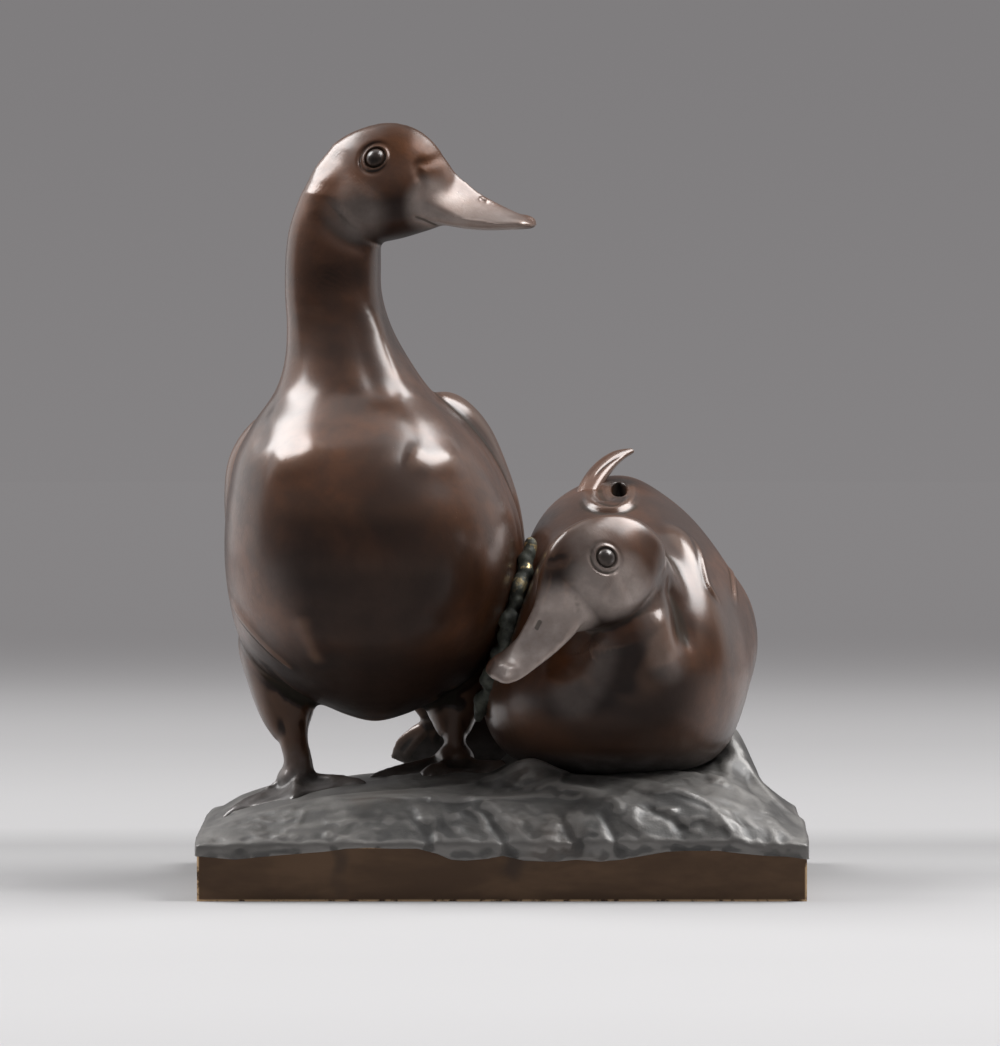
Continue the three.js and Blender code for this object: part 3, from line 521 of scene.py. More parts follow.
class Graph:
    """The nodes of one material."""

    def __init__(self, tree):
        self.tree = tree
        tree.nodes.clear()

    def node(self, kind, settings=None, values=None, output=0):
        """One node: its type, its settings, and the values or links of its sockets."""
        made = self.tree.nodes.new(kind)
        for name, value in (settings or {}).items():
            if name == "stops":
                fill_ramp(made.color_ramp, value)
            else:
                setattr(made, name, value)
        for key, value in (values or {}).items():
            if isinstance(value, Term):
                self.tree.links.new(value.socket, made.inputs[key])
            else:
                made.inputs[key].default_value = value
        return Term(self, made.outputs[output]) if len(made.outputs) else None

    def place(self):
        """Where a point is on the object, in metres."""
        return self.node("ShaderNodeTexCoord", output="Object")

    def noise(self, scale, detail=3.0, rough=0.5, distortion=0.0, at=None):
        values = {"Vector": at or self.place(), "Scale": scale, "Detail": detail, "Roughness": rough}
        return self.node("ShaderNodeTexNoise", {}, {**values, "Distortion": distortion})

    def cells(self, scale):
        return self.node("ShaderNodeTexVoronoi", {}, {"Vector": self.place(), "Scale": scale})

    def stretched(self, x, y, z):
        """The place with each axis scaled, for streaks."""
        return self.node("ShaderNodeMapping", {}, {"Vector": self.place(), "Scale": (x, y, z)})

    def mix(self, share, first, second):
        """A colour between two colours."""
        settings = {"data_type": "RGBA"}
        return self.node("ShaderNodeMix", settings, {"Factor": share, 6: first, 7: second}, output=2)

    def bump(self, height, strength, distance):
        values = {"Strength": strength, "Distance": distance, "Height": height}
        return self.node("ShaderNodeBump", {}, values)

    def attribute(self, name):
        """A value that the cast piece carries at each of its points."""
        return self.node("ShaderNodeAttribute", {"attribute_name": name}, output="Fac")

    def axes(self, vector, names="XYZ"):
        """The parts of a vector along the named axes."""
        return [self.node("ShaderNodeSeparateXYZ", {}, {"Vector": vector}, output=name) for name in names]

    def facing(self):
        """Where the surface faces."""
        return self.node("ShaderNodeNewGeometry", output="Normal")


def fill_ramp(ramp, stops):
    while len(ramp.elements) > 1:
        ramp.elements.remove(ramp.elements[-1])
    for i, (place, colour) in enumerate(stops):
        stop = ramp.elements[0] if i == 0 else ramp.elements.new(place)
        stop.position = place
        stop.color = (*colour, 1)


def colour(red, green, blue):
    return (red, green, blue, 1)


def material(name, build):
    """A material whose shader comes from build(graph)."""
    made = bpy.data.materials.new(name)
    made.use_nodes = True
    graph = Graph(made.node_tree)
    shader = build(graph)
    graph.node("ShaderNodeOutputMaterial", {}, {"Surface": shader})
    return made


# Brown patina
DARK_BROWN = colour(0.05, 0.02, 0.009)
RED_BROWN = colour(0.14, 0.052, 0.02)
MOTTLED_BROWN = colour(0.036, 0.017, 0.01)
# painted shade: near-black brown for the fronts that turn down and for undersides
PAINTED_SHADE_BROWN = colour(0.008, 0.004, 0.003)
WORN_RIDGE = colour(0.2, 0.11, 0.07)
# pale metal, worn bright, partly as painted highlight on bills, cheeks and neck folds
RUBBED_METAL_AND_PAINTED_HIGHLIGHT = colour(0.5, 0.42, 0.38)
GREENISH_HOLLOW = colour(0.026, 0.026, 0.02)
# dark round the eyes; in and round the curl's slot it is painted shade
DARK_EYES_AND_PAINTED_SLOT_SHADE = colour(0.014, 0.01, 0.008)
FOOT_GREY = (colour(0.07, 0.066, 0.062), colour(0.16, 0.15, 0.145))
# Grey patina of the ground
GROUND_GREY = (colour(0.045, 0.042, 0.039), colour(0.11, 0.103, 0.095))
GROUND_RUST = colour(0.085, 0.056, 0.038)
GROUND_RIDGE = colour(0.24, 0.226, 0.21)
GROUND_HOLLOW = colour(0.025, 0.023, 0.021)
# painted sheen: a paler grey for level places that face up
GROUND_TOP_PAINTED_SHEEN = colour(0.36, 0.345, 0.325)
# Plinth, fixings and braze
PLINTH_BRONZE = (colour(0.075, 0.044, 0.026), colour(0.12, 0.072, 0.042))
PLINTH_BLOT = colour(0.045, 0.033, 0.027)
WORN_EDGE = colour(0.62, 0.42, 0.24)
BRASS_COLOUR = colour(0.44, 0.32, 0.14)
BRASS_TARNISH = colour(0.2, 0.14, 0.07)
BRAZE_CRUST = (colour(0.022, 0.024, 0.019), colour(0.075, 0.08, 0.062))
BRAZE_GOLD = colour(0.5, 0.38, 0.19)
BRAZE_HOLLOW = colour(0.014, 0.014, 0.012)


def shiny(graph, **values):
    """A Principled shader; names are its sockets' with _ for each space."""
    sockets = {name.replace("_", " ").title().replace("Ior", "IOR"): value for name, value in values.items()}
    return graph.node("ShaderNodeBsdfPrincipled", {}, sockets)


def painted_shade_below(graph):
    """1 on the fronts that turn down to the ground and on undersides, where shade is painted: there the brown
    is made nearly black and the wax dull.
    """
    y, z = graph.axes(graph.facing(), "YZ")
    front = (0 - y).step(0.55, 0.9)
    down = (0 - z).step(-0.34, 0.1)
    deep_down = (0 - z).step(0.3, 0.75)
    return front * down * (1 - deep_down) + deep_down


def brown_patina(graph):
    """Waxed brown patina: clouds of dark and reddish brown, greener in the hollows, worn on the ridges,
    worn to a paler metal with painted highlights on bills, cheeks and neck folds, and grey like the ground at
    the feet;
    dark round the eyes, with painted shade in the curl's slot, and near-black painted shade on the fronts
    that turn down and on undersides."""
    clouds = graph.noise(34, 3, 0.55, 0.4).step(0.34, 0.68)
    mottle = graph.noise(170, 5, 0.62).step(0.35, 0.7)
    hollow = graph.attribute("hollow")
    deep = hollow.step(0.6, 0.92)
    ridge = 1 - hollow.step(0.12, 0.42)
    # mask of painted shade on the fronts that turn down and on undersides
    under = painted_shade_below(graph)
    footing, matt, rubbed_and_sheen, eye_and_slot_shade = (graph.attribute(name) for name in ("footing", "matt", "rubbed_and_sheen", "eye"))
    rim = graph.node("ShaderNodeLayerWeight", {}, {"Blend": 0.5}, output="Facing").step(0.7, 1.0)
    brown = graph.mix(clouds, DARK_BROWN, RED_BROWN)
    brown = graph.mix(mottle * 0.4, brown, MOTTLED_BROWN)
    # painted shade: those fronts and undersides go nearly black
    brown = graph.mix(under * 0.92, brown, PAINTED_SHADE_BROWN)
    brown = graph.mix(ridge * 0.4, brown, WORN_RIDGE)
    # worn metal, partly as painted highlight, on bills, cheeks, brow and neck folds
    brown = graph.mix(rubbed_and_sheen * (0.6 + mottle * 0.25), brown, RUBBED_METAL_AND_PAINTED_HIGHLIGHT)
    brown = graph.mix(deep * 0.55, brown, GREENISH_HOLLOW)
    # dark round the eyes, and painted shade in the curl's slot
    brown = graph.mix(eye_and_slot_shade * 0.85, brown, DARK_EYES_AND_PAINTED_SLOT_SHADE)
    brown = graph.mix(footing * 0.9, brown, graph.mix(mottle, *FOOT_GREY))
    grain = graph.noise(1500, 3, 0.65) * 0.6 + graph.noise(620, 3, 0.6) * 0.7
    pits = graph.cells(700).step(0.0, 0.22)
    spots = graph.noise(240, 2, 0.5).step(0.58, 0.66)
    relief = grain + (1 - (1 - pits) * spots)
    wax = (0.95 - under * 0.88 - deep * 0.5) * (1 - footing * 0.3) * (1 - matt * 0.8) * (1 - rim * 0.6)
    return shiny(
        graph,
        base_color=brown,
        metallic=0.3 - under * 0.28 + rubbed_and_sheen * 0.35,
        roughness=0.38 + mottle * 0.08 + deep * 0.25 + under * 0.2,
        ior=1.25,
        coat_weight=wax,
        coat_roughness=0.24,
        coat_ior=1.7,
        normal=graph.bump(relief, 0.7, 0.00009),
    )


def grey_patina(graph):
    """Dull, sandy grey patina of the ground: worn paler on ridges, with a painted sheen that makes the level
    places that face up paler, and brown in spots.
    """
    hollow = graph.attribute("hollow")
    ridge = 1 - hollow.step(0.1, 0.46)
    deep = hollow.step(0.55, 0.95)
    smears = graph.noise(60, 4, 0.6, 0.6, graph.stretched(1, 1, 2.2)).step(0.4, 0.68)
    rust = graph.noise(45, 3, 0.5).step(0.58, 0.72)
    # painted sheen on the level places that face up
    level = graph.axes(graph.facing(), "Z")[0].step(0.8, 0.98)
    grey = graph.mix(smears, *GROUND_GREY)
    grey = graph.mix(rust * 0.55, grey, GROUND_RUST)
    grey = graph.mix(ridge * 0.45, grey, GROUND_RIDGE)
    grey = graph.mix(deep * 0.3, grey, GROUND_HOLLOW)
    grey = graph.mix(level * (0.3 + smears * 0.3), grey, GROUND_TOP_PAINTED_SHEEN)
    sand = graph.noise(1500, 3, 0.7)
    scratches = graph.noise(700, 3, 0.7, 0, graph.stretched(0.35, 1, 1))
    return shiny(
        graph,
        base_color=grey,
        metallic=0.45,
        roughness=0.5 + smears * 0.1 + deep * 0.15 - ridge * 0.08,
        coat_weight=0.6,
        coat_roughness=0.42,
        coat_ior=1.7,
        normal=graph.bump(sand * 0.7 + scratches * 0.6, 0.7, 0.00022),
    )


WEAR_WIDTH = 0.0007  # metres from an edge of the plinth to where its wear ends


def edge_wear(graph, corner):
    """1 on the long edges and corners of the plinth, broken up by noise."""
    place = graph.node("ShaderNodeVectorMath", {"operation": "ABSOLUTE"}, {0: graph.place()})
    parts = graph.axes(place)
    bare = WEAR_WIDTH / 3
    side_x, side_y, top = (part.step(far - WEAR_WIDTH, far - bare) for part, far in zip(parts, corner))
    bottom = 1 - parts[2].step(bare, WEAR_WIDTH)
    either = (side_x + side_y) * (top + bottom) + side_x * side_y
    return either * graph.noise(420, 3, 0.6).step(0.36, 0.52)


def plinth_patina(graph):
    """Filed brown bronze with thin patina, darker blots and bright worn edges."""
    wear = edge_wear(graph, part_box("plinth")[1])
    streaks = graph.noise(90, 4, 0.6, 0.2, graph.stretched(0.35, 0.35, 1)).step(0.35, 0.7)
    blots = graph.noise(55, 2, 0.5).step(0.62, 0.72)
    brown = graph.mix(streaks, *PLINTH_BRONZE)
    brown = graph.mix(blots * 0.6, brown, PLINTH_BLOT)
    brown = graph.mix(wear, brown, WORN_EDGE)
    filed = graph.noise(800, 2, 0.6, 0, graph.stretched(0.12, 0.12, 1))
    return shiny(
        graph,
        base_color=brown,
        metallic=0.85,
        roughness=0.42 + blots * 0.1 - wear * 0.12,
        coat_weight=0.15,
        coat_roughness=0.3,
        normal=graph.bump(filed, 0.25, 0.0001),
    )


def turned_brass(graph):
    """Dull turned brass with tarnish in clouds."""
    tarnish = graph.noise(500, 4, 0.6).step(0.4, 0.7)
    rings = graph.noise(1800, 2, 0.5)
    return shiny(
        graph,
        base_color=graph.mix(tarnish, BRASS_COLOUR, BRASS_TARNISH),
        metallic=1.0,
        roughness=0.34 + tarnish * 0.2,
        normal=graph.bump(rings, 0.2, 0.00005),
    )


def braze(graph):
    """Crusty braze, golden where it was worn near its top and dark grey-green elsewhere."""
    hollow = graph.attribute("hollow")
    height = graph.axes(graph.place(), "Z")[0]
    rubbed_and_sheen = height.step(0.074, 0.086) * graph.noise(330, 4, 0.65).step(0.5, 0.62)
    crust = graph.noise(260, 4, 0.65).step(0.35, 0.65)
    skin_colour = graph.mix(rubbed_and_sheen, graph.mix(crust, *BRAZE_CRUST), BRAZE_GOLD)
    skin_colour = graph.mix(hollow.step(0.5, 0.85) * 0.8, skin_colour, BRAZE_HOLLOW)
    return shiny(
        graph,
        base_color=skin_colour,
        metallic=0.2 + rubbed_and_sheen * 0.6,
        roughness=0.6 - rubbed_and_sheen * 0.25,
        normal=graph.bump(graph.noise(1500, 3, 0.6), 0.5, 0.0002),
    )


BROWN = material("brown_patina", brown_patina)
GREY = material("grey_patina", grey_patina)
PLINTH_BROWN = material("plinth_patina", plinth_patina)
BRASS = material("turned_brass", turned_brass)
BRAZE = material("braze", braze)

# Heads, in their own frame: X to the tip of the bill, Y to the left, Z to the crown

SKULL = [
    # x, crown, throat, half width
    (-18, -2, -6, 1), (-16.6, 3, -10.5, 4.4), (-13, 9, -14.5, 6.8), (-8, 13.8, -16.6, 9.5),
    (-2, 17, -17, 11.9), (4.5, 17.8, -15.6, 12.6), (10.5, 16.2, -12.5, 10.8), (16, 12.6, -8.6, 8),
    (20.5, 9, -5, 5.4), (23, 6, -2, 2),
]
BILL = [
    # x, ridge, edge, underside, half width, fullness of the ridge, where 2 is round
    (10, 12, 1, -5.5, 7.6, 1.4), (16, 11.8, 0, -5, 8.8, 1.15), (21, 9.6, -0.8, -4.4, 8.9, 1.05),
    (27, 7.6, -0.7, -3.4, 8.7, 1.05), (32.5, 6.4, 0.4, -1.9, 8.9, 1.15), (38, 5.6, 1.8, 0.2, 9.3, 1.5),
    (42, 5.1, 3, 1.8, 8.7, 2.4), (44.4, 4.6, 3.7, 3, 6.2, 2.6), (45.2, 4.2, 4, 3.8, 2, 2.4),
]
CHEEK_LEVEL = 0.37  # how high up the skull is widest
CROWN_ROUNDNESS = 1.6
BILL_LIP = 0.9  # thickness of the upper mandible's edge
LIP_SQUARENESS = 2.4
LOWER_BILL_SHARE = 0.9  # width of the lower mandible against the upper one
NAIL = ((2.6, 2.6, 1.2), (42.4, 0, 4.8))  # radii and middle
EYE = (-2.0, 10.1, 7.4)
EYE_BALL = 2.6  # the ball's radius and how far it bulges, before it is sunk
BALL_SINK = 0.8
BALL_EDGE = 0.25  # width over which the ball meets its socket
LID = (3.3, 0.4, 0.3)  # radius of a ring, its width and its rise
LID_GROOVE = (4.2, 0.7, -0.4)
SOCKET = (EYE_BALL, 0.3, -0.6)
EYE_REACH = 7  # how far from the eye its work goes
EYE_NARROWNESS = 0.92  # an eye's width against its height
GROOVE_LEAN = 0.18  # how much the groove round the lids deepens for each millimetre to the viewer's left
SOCKET_LEAN = 6  # millimetres to the left at which the socket is twice as deep; as far right it runs out
EVEN_WIDTH = 4  # the clay's usual height round an eye is taken within this distance,
EVEN_SHARE = 0.6  # and the clay is brought that far towards it
EVEN_RIM = 4.5  # out to this distance,
EVEN_FADE = 1.5  # fading over this width


def head_frame(centre, forward, crown, size):
    """The matrix that places a head: its middle, where its bill and its crown point, and its size."""
    x = unit(np.array(forward, float))
    y = unit(np.cross(crown, x))
    matrix = np.eye(4)
    matrix[:3, :3] = np.stack([x, y, np.cross(x, y)], 1) * size
    matrix[:3, 3] = centre
    return matrix


NAPE = (-13, 0, 2)  # in a head's own frame
STANDING_HEAD = head_frame((-33.2, -4, 185), (0.94, -0.08, -0.34), (0.34, -0.05, 0.94), 0.97)
CROUCHING_HEAD = head_frame((26, -40, 85.2), (-0.64, -0.15, -0.75), (-0.6, -0.49, 0.63), 0.91)


def to_world(points, matrix):
    """Points of a head's own frame, in the frame of the group."""
    return np.asarray(points, float) @ matrix[:3, :3].T + matrix[:3, 3]


def to_head(points, matrix):
    """Points of the group, in a head's own frame."""
    return (np.asarray(points, float) - matrix[:3, 3]) @ np.linalg.inv(matrix[:3, :3]).T


def head_lumps(matrix):
    """Skull, upper and lower mandible, and the nail at the bill's tip."""
    skull = []
    for x, crown, throat, half in SKULL:
        middle = throat + (crown - throat) * CHEEK_LEVEL
        up, down = (0, 0, crown - middle), (0, 0, throat - middle)
        skull.append(section((x, 0, middle), (0, half, 0), up, down, CROWN_ROUNDNESS, NEARLY_ROUND))
    upper, lower = [], []
    for x, ridge, edge, under, half, roundness in BILL:
        lip = min(BILL_LIP, edge - under)
        side = half * LOWER_BILL_SHARE
        place = (x, 0, edge)
        ridge_up, lip_down, throat_down = (0, 0, ridge - edge), (0, 0, -lip), (0, 0, under - edge)
        upper.append(section(place, (0, half, 0), ridge_up, lip_down, roundness, LIP_SQUARENESS))
        lower.append(section(place, (0, side, 0), (0, 0, BILL_LIP / 3), throat_down, 2, LIP_SQUARENESS))
    lumps = [loft(skull), loft(upper), loft(lower), ball(*NAIL)]
    return [(to_world(points, matrix), faces) for points, faces in lumps]


def both_sides(clay, matrix, line):
    """A line on one side of a head, and its mirror image on the other side."""
    local = to_head(line, matrix)
    mirrored = clay.closest(to_world(local * np.array([1, -1, 1]), matrix))
    return [np.asarray(line), mirrored[::-1]]


def eye_places(matrix):
    """Where a head's right and left eyes are."""
    return to_world([np.array(EYE) * (1, side, 1) for side in (-1, 1)], matrix)


def ring(away, radius, width, rise):
    """A raised or sunk ring round an eye."""
    return rise * bell((away - radius) / width)


def eye(clay, matrix, place):
    """An eye with its ball, the groove round it and the lids."""
    clay.refine(clay.near(place, EYE_REACH + 1) > 0)
    place = clay.closest([place])[0]
    near = np.linalg.norm(clay.points - place, axis=1)
    axis = unit(clay.normals()[near < EYE_REACH / 2].mean(0))
    spots = np.flatnonzero(near < EYE_REACH)
    offset = clay.points[spots] - place
    height = offset @ axis
    flat = offset - height[:, None] * axis
    crown = unit(matrix[:3, 2] - matrix[:3, 2] @ axis * axis)
    rightward = np.cross(crown, axis)
    size = np.linalg.norm(matrix[:3, 0])
    across, upward = flat @ rightward / size, flat @ crown / size
    away = np.hypot(across, upward * EYE_NARROWNESS)
    lids = ring(away, *LID) + ring(away, *LID_GROOVE) * (1 - GROOVE_LEAN * across)
    socket = ring(away, *SOCKET) * (1 - across / SOCKET_LEAN)
    dome = EYE_BALL * np.sqrt(np.clip(1 - (away / EYE_BALL) ** 2, 0, 1)) - BALL_SINK
    inside = np.clip((EYE_BALL - away) / BALL_EDGE, 0, 1)
    even = np.median(height[away < EVEN_WIDTH])
    level = np.clip((EVEN_RIM - away) / EVEN_FADE, 0, 1) * EVEN_SHARE
    wanted = even * level + height * (1 - level) + lids + socket
    wanted = wanted * (1 - inside) + (even + dome) * inside
    clay.points[spots] += ((wanted - height) * size)[:, None] * axis


# Standing duck

STANDING_NODES = [
    "standing_body", "standing_head", "standing_left_leg", "standing_right_leg", "standing_tail",
]
STANDING_X = -35  # middle of its back
TAIL_SWING = 0.2  # how far the tail end swings to the viewer's right for each millimetre further back
TORSO = [
    # height, left edge, right edge, front, back
    (191, -46, -38, -8, 2), (186, -51.2, -35, -11, 5), (180, -54, -33.4, -12, 8),
    (173, -56.2, -32.4, -13, 9), (165, -57.2, -32.2, -14, 9.5), (156, -57.3, -32, -15, 10),
    (147, -56.8, -29.4, -17, 11), (138, -57.4, -24.6, -21, 14), (130, -60, -19, -26, 19),
    (122, -65.5, -10.5, -35, 26), (113.5, -70, -4, -43, 33), (103, -72.2, 1.2, -47.2, 38),
    (94, -73.2, 3.8, -48.4, 42), (84, -73.2, 4.5, -48.6, 45), (74, -72, 3.2, -46.5, 47),
    (65, -69.6, 0, -42, 47.5), (57, -64.5, -5.5, -34.5, 47), (50.5, -56, -13, -25, 43),
    (45.5, -45, -22, -13, 34), (43, -38, -29, -3, 22), (42.4, -34.5, -32.5, 4, 13),
]
# Limbs: x, y, z, half width, half depth
LEFT_WING = [
    (-58, 3, 123, 2, 2), (-59.5, 7, 118.5, 9, 8), (-60.5, 13, 110, 15, 12), (-58, 23, 96, 19, 11),
    (-50, 33, 80, 18, 9), (-39, 42, 65, 13, 7), (-29, 48, 53, 7, 4.5), (-22, 52, 44, 1.5, 1.2),
]
RIGHT_WING = [
    (-17, 3, 128, 2, 2), (-15.5, 8, 123.5, 9, 8), (-14.5, 14, 115, 15, 12), (-12, 24, 100, 19, 11),
    (-10.5, 34, 83, 18, 8.5), (-12, 43, 67, 13, 7), (-14.5, 49, 54, 7, 4.5), (-17, 52, 45, 1.5, 1.2),
]
TAIL = [
    (-24, 38, 62, 13, 8), (-16, 44, 52, 13, 6), (-10, 48, 43, 13, 4.4), (-10, 50, 36, 15, 3.4),
    (-11, 51.5, 29.5, 18.5, 2.4), (-13, 52.5, 23, 19, 1.5),
]
LEFT_THIGH = [
    (-54, 14, 84, 3, 4), (-56.5, 11, 74, 10, 12), (-58, 8, 63, 12.2, 15), (-57.6, 5, 53, 10, 11.5),
    (-57, 2, 44, 7, 7.5), (-56, 0.5, 38, 4, 4.6),
]
RIGHT_THIGH = [
    (-15, 22, 84, 3, 4), (-13.5, 19, 74, 10, 12), (-12.5, 17, 63, 12.2, 15), (-12.8, 15, 53, 10, 11.5),
    (-13, 13, 44, 7, 7.5), (-12.8, 11, 38, 4, 4.6),
]
LEFT_LEG = [
    (-57.4, 1.6, 50, 7.4, 7.6), (-56.6, 0.8, 45, 5.8, 6.4), (-55.6, 0, 41, 4.5, 5.2),
    (-55.1, -1, 37, 3.8, 4.2), (-54, -1.6, 32.5, 3.8, 4), (-54, -2, 28, 4.4, 4.6),
    (-54.3, -2, 22, 5, 5),
]
RIGHT_LEG = [
    (-12.9, 13, 50, 6.4, 7.6), (-12.8, 12, 45.4, 4.6, 6.4), (-12.7, 11, 42, 3.4, 5.2),
    (-12.5, 10, 38.5, 2.8, 4.2), (-12.5, 9.4, 35, 2.8, 4), (-12.5, 9, 31, 3.4, 4.6),
    (-12.5, 9, 26, 4.4, 5),
]
FEET = [(-54.5, -2, -90), (-12.5, 9, -108)]  # place, and direction of the middle toe in degrees
TOE_LENGTH = 25
TOE_SPREAD = 52  # degrees between two toes
TOE_WIDTH = 0.17  # as a share of that
WEB_REACH = 0.74  # share of a toe's length that the web reaches between two toes
WEB_MARGIN = 0.12  # how far the web goes past the outer toes, as a share of the way between two toes
MARGIN_LOSS = 0.2  # how much shorter the web is at the end of that margin
ANKLE_BALL = (5.4, 6, 5.2)
WEB_THICKNESS = 1.5
WEB_FADE = 0.6  # how much of that is lost at the web's rim
TOE_RISE = 2.1
TOE_FALL = 0.55  # share of that rise that a toe has lost at its tip
ANKLE_RISE = 3
FOOT_DEPTH = 3  # how deep the foot is set into the ground
TIP_FADE = 0.8  # how far the toes sink into the ground at their tips
DUCK_GRAIN = 0.62  # size of the faces of the ducks' skin, in millimetres
FINE_SKIN_Z = 153  # height that the standing duck's finer skin starts at
STANDING_FOOTING = (27, 38)


def from_spine(place):
    """Outwards from the standing duck's back, which swings to one side."""
    return (place[0] - STANDING_X - TAIL_SWING * place[1], place[1], 12)


def always(*direction):
    """The same direction all along a limb."""
    return lambda place: direction


# Ground

GROUND_EDGE = 14.6  # height of the ground at its rim
CREST_HEIGHT = 31
ROCK_HEIGHT = 13
PLINTH_HEIGHT = 14.2
SEAT_LEVEL = PLINTH_HEIGHT + 0.1  # where the ground lies on the plinth
PLINTH_WALL = 5
GROUND_LIP = 1.1  # how far the ground stands out beyond the plinth's sides
CORNER_LIP = 0.5
GROUND_SKIN = 3.6
CREST = [
    # x and height
    (-80, 15.5), (-70, 20), (-54, 24.3), (-38, 27), (-18, 28.6), (2, 29.2),
    (22, CREST_HEIGHT - 0.6), (40, CREST_HEIGHT), (56, CREST_HEIGHT - 1.5), (68, 24), (80, 16.5),
]
FRONT_TO_BACK = [
    # y and share of the crest's rise
    (-58, 0), (-52, 0.42), (-44, 0.74), (-30, 0.93), (-8, 1), (22, 0.98), (44, 0.78), (58, 0.42),
]
FOLDS = [
    # x, y, direction in degrees, half length, half width, rise
    (-12, -47, -12, 20, 4.5, 2.6), (10, -49, 14, 14, 4, -1.8), (24, -46, -30, 17, 4.5, 2.4),
    (45, -44, -38, 18, 4, 1.8), (-48, -38, 4, 24, 4.5, 1.3), (-30, -28, 10, 18, 3.5, -1.2),
    (2, -32, 8, 22, 3, 1.4), (58, -30, -34, 17, 4, 1.8), (70, -10, -52, 20, 4, 2.4),
    (66, 36, -20, 15, 6, 2), (-62, 30, 30, 16, 6, 1.6), (-45, 44, -10, 20, 5, -1.4),
    (20, 50, 8, 24, 4, 1.6), (-18, -6, 12, 14, 4, 1), (7, -29, 20, 9, 8, 5.5), (4, 2, 90, 16, 5, 6),
]
ROCK = (61.5, 12, 6.5, 17)  # x, y, half width, half length
SEATS = [(-54.5, -2), (-12.5, 9), (37, -8), (33, 20)]  # under the feet, and for the crouching duck's bolts
BOSSES = [(end * 42, side * 46.5) for side in (-1, 1) for end in (-1, 1)]
BOSS_RADIUS = 5.5
PAD_RADIUS = 6
PAD_DEPTH = 1.6
PLINTH_HALF = (78.5, 56.0)
LIP_LEVEL = 11.9  # mean height of the hem
HEM_WAVE = 1.8
HEM_RIPPLE = 0.35
LIP_DEPTH = 6  # how far below that the lip reaches before its hem is cut
GROUND_GRAIN = 0.6
HEM_PIXELS = [
    (196, 858), (221, 860), (232, 861), (261, 858), (296, 855), (322, 853), (343, 850), (367, 849),
    (390, 850), (416, 850), (435, 855), (449, 861), (464, 862), (485, 860), (501, 857), (523, 862),
    (553, 863), (575, 861), (598, 863), (619, 861), (642, 857), (665, 853), (683, 852), (717, 852),
    (740, 855), (763, 857), (786, 858), (807, 861),
]
FRONT_SCALE = FOCAL_PIXELS / (-CAMERA_PLACE[1] - 57)
HEM = [
    ((column - PHOTO_SIZE[0] / 2) / FRONT_SCALE, CAMERA_PLACE[2] - (row - HORIZON_ROW) / FRONT_SCALE)
    for column, row in HEM_PIXELS
]


def mound(x, y):
    """Height of the ground's plain rise, without its folds and its rock."""
    return GROUND_EDGE + (curve_at(CREST, x) - GROUND_EDGE) * curve_at(FRONT_TO_BACK, y)


def height_at(surface, x, y):
    return float(surface(np.array(x), np.array(y)))


def ground_height(x, y):
    """Height of the ground with its folds and its rock."""
    height = mound(x, y)
    for cx, cy, degrees, long, wide, rise in FOLDS:
        turn = math.radians(degrees)
        lengthwise = (x - cx) * math.cos(turn) + (y - cy) * math.sin(turn)
        crosswise = (y - cy) * math.cos(turn) - (x - cx) * math.sin(turn)
        height = height + rise * bell(lengthwise / long) * bell(crosswise / wide)
    height = height + ROCK_HEIGHT * bell((x - ROCK[0]) / ROCK[2]) * bell((y - ROCK[1]) / ROCK[3])
    return np.maximum(height, PLINTH_HEIGHT + 0.6)


def foot(place):
    """A webbed foot on the ground: a fan from the ankle with three raised toes."""
    x, y, turn = place
    steps, sweeps = 30, 72
    share = np.linspace(0, 1, steps + 1)[:, None]
    sweep = np.linspace(-1 - WEB_MARGIN, 1 + WEB_MARGIN, sweeps + 1)[None]
    angle = np.radians(turn + sweep * TOE_SPREAD)
    near_toe = np.maximum.reduce([bell((sweep - toe) / TOE_WIDTH) for toe in (-1, 0, 1)])
    outside = np.clip((np.abs(sweep) - 1) / WEB_MARGIN, 0, 1)
    reach = TOE_LENGTH * share * (WEB_REACH + (1 - WEB_REACH) * near_toe) * (1 - MARGIN_LOSS * outside)
    px, py = x + reach * np.cos(angle), y + 3 + reach * np.sin(angle)
    web = WEB_THICKNESS * (1 - WEB_FADE * share * (1 - near_toe))
    rise = web + TOE_RISE * near_toe * (1 - TOE_FALL * share) + ANKLE_RISE * (1 - share) ** 3
    rise = rise * (1 - TIP_FADE * share**5)
    floor = ground_height(px, py)
    top = np.stack([px, py, floor + rise], -1)
    under = np.stack([px, py, floor - FOOT_DEPTH], -1)
    return sheet_faces(top, under)


def sheet_faces(top, under):
    """Points and faces of a closed slab between two nets of points."""
    rows, columns = top.shape[:2]
    points = np.vstack([top.reshape(-1, 3), under.reshape(-1, 3)])
    shift = rows * columns
    i, j = np.meshgrid(np.arange(rows - 1), np.arange(columns - 1), indexing="ij")
    a = (i * columns + j).ravel()
    b, c, d = a + columns, a + columns + 1, a + 1
    faces = np.vstack([np.stack([a, b, c, d], 1), np.stack([a, d, c, b], 1) + shift])
    rim = [(r, 0) for r in range(rows)] + [(rows - 1, k) for k in range(1, columns)]
    rim += [(r, columns - 1) for r in range(rows - 2, -1, -1)] + [(0, k) for k in range(columns - 2, 0, -1)]
    rim = np.array([r * columns + k for r, k in rim])
    following = np.roll(rim, -1)
    walls = np.stack([following, rim, rim + shift, following + shift], 1)
    return points, np.vstack([faces, walls]).tolist()


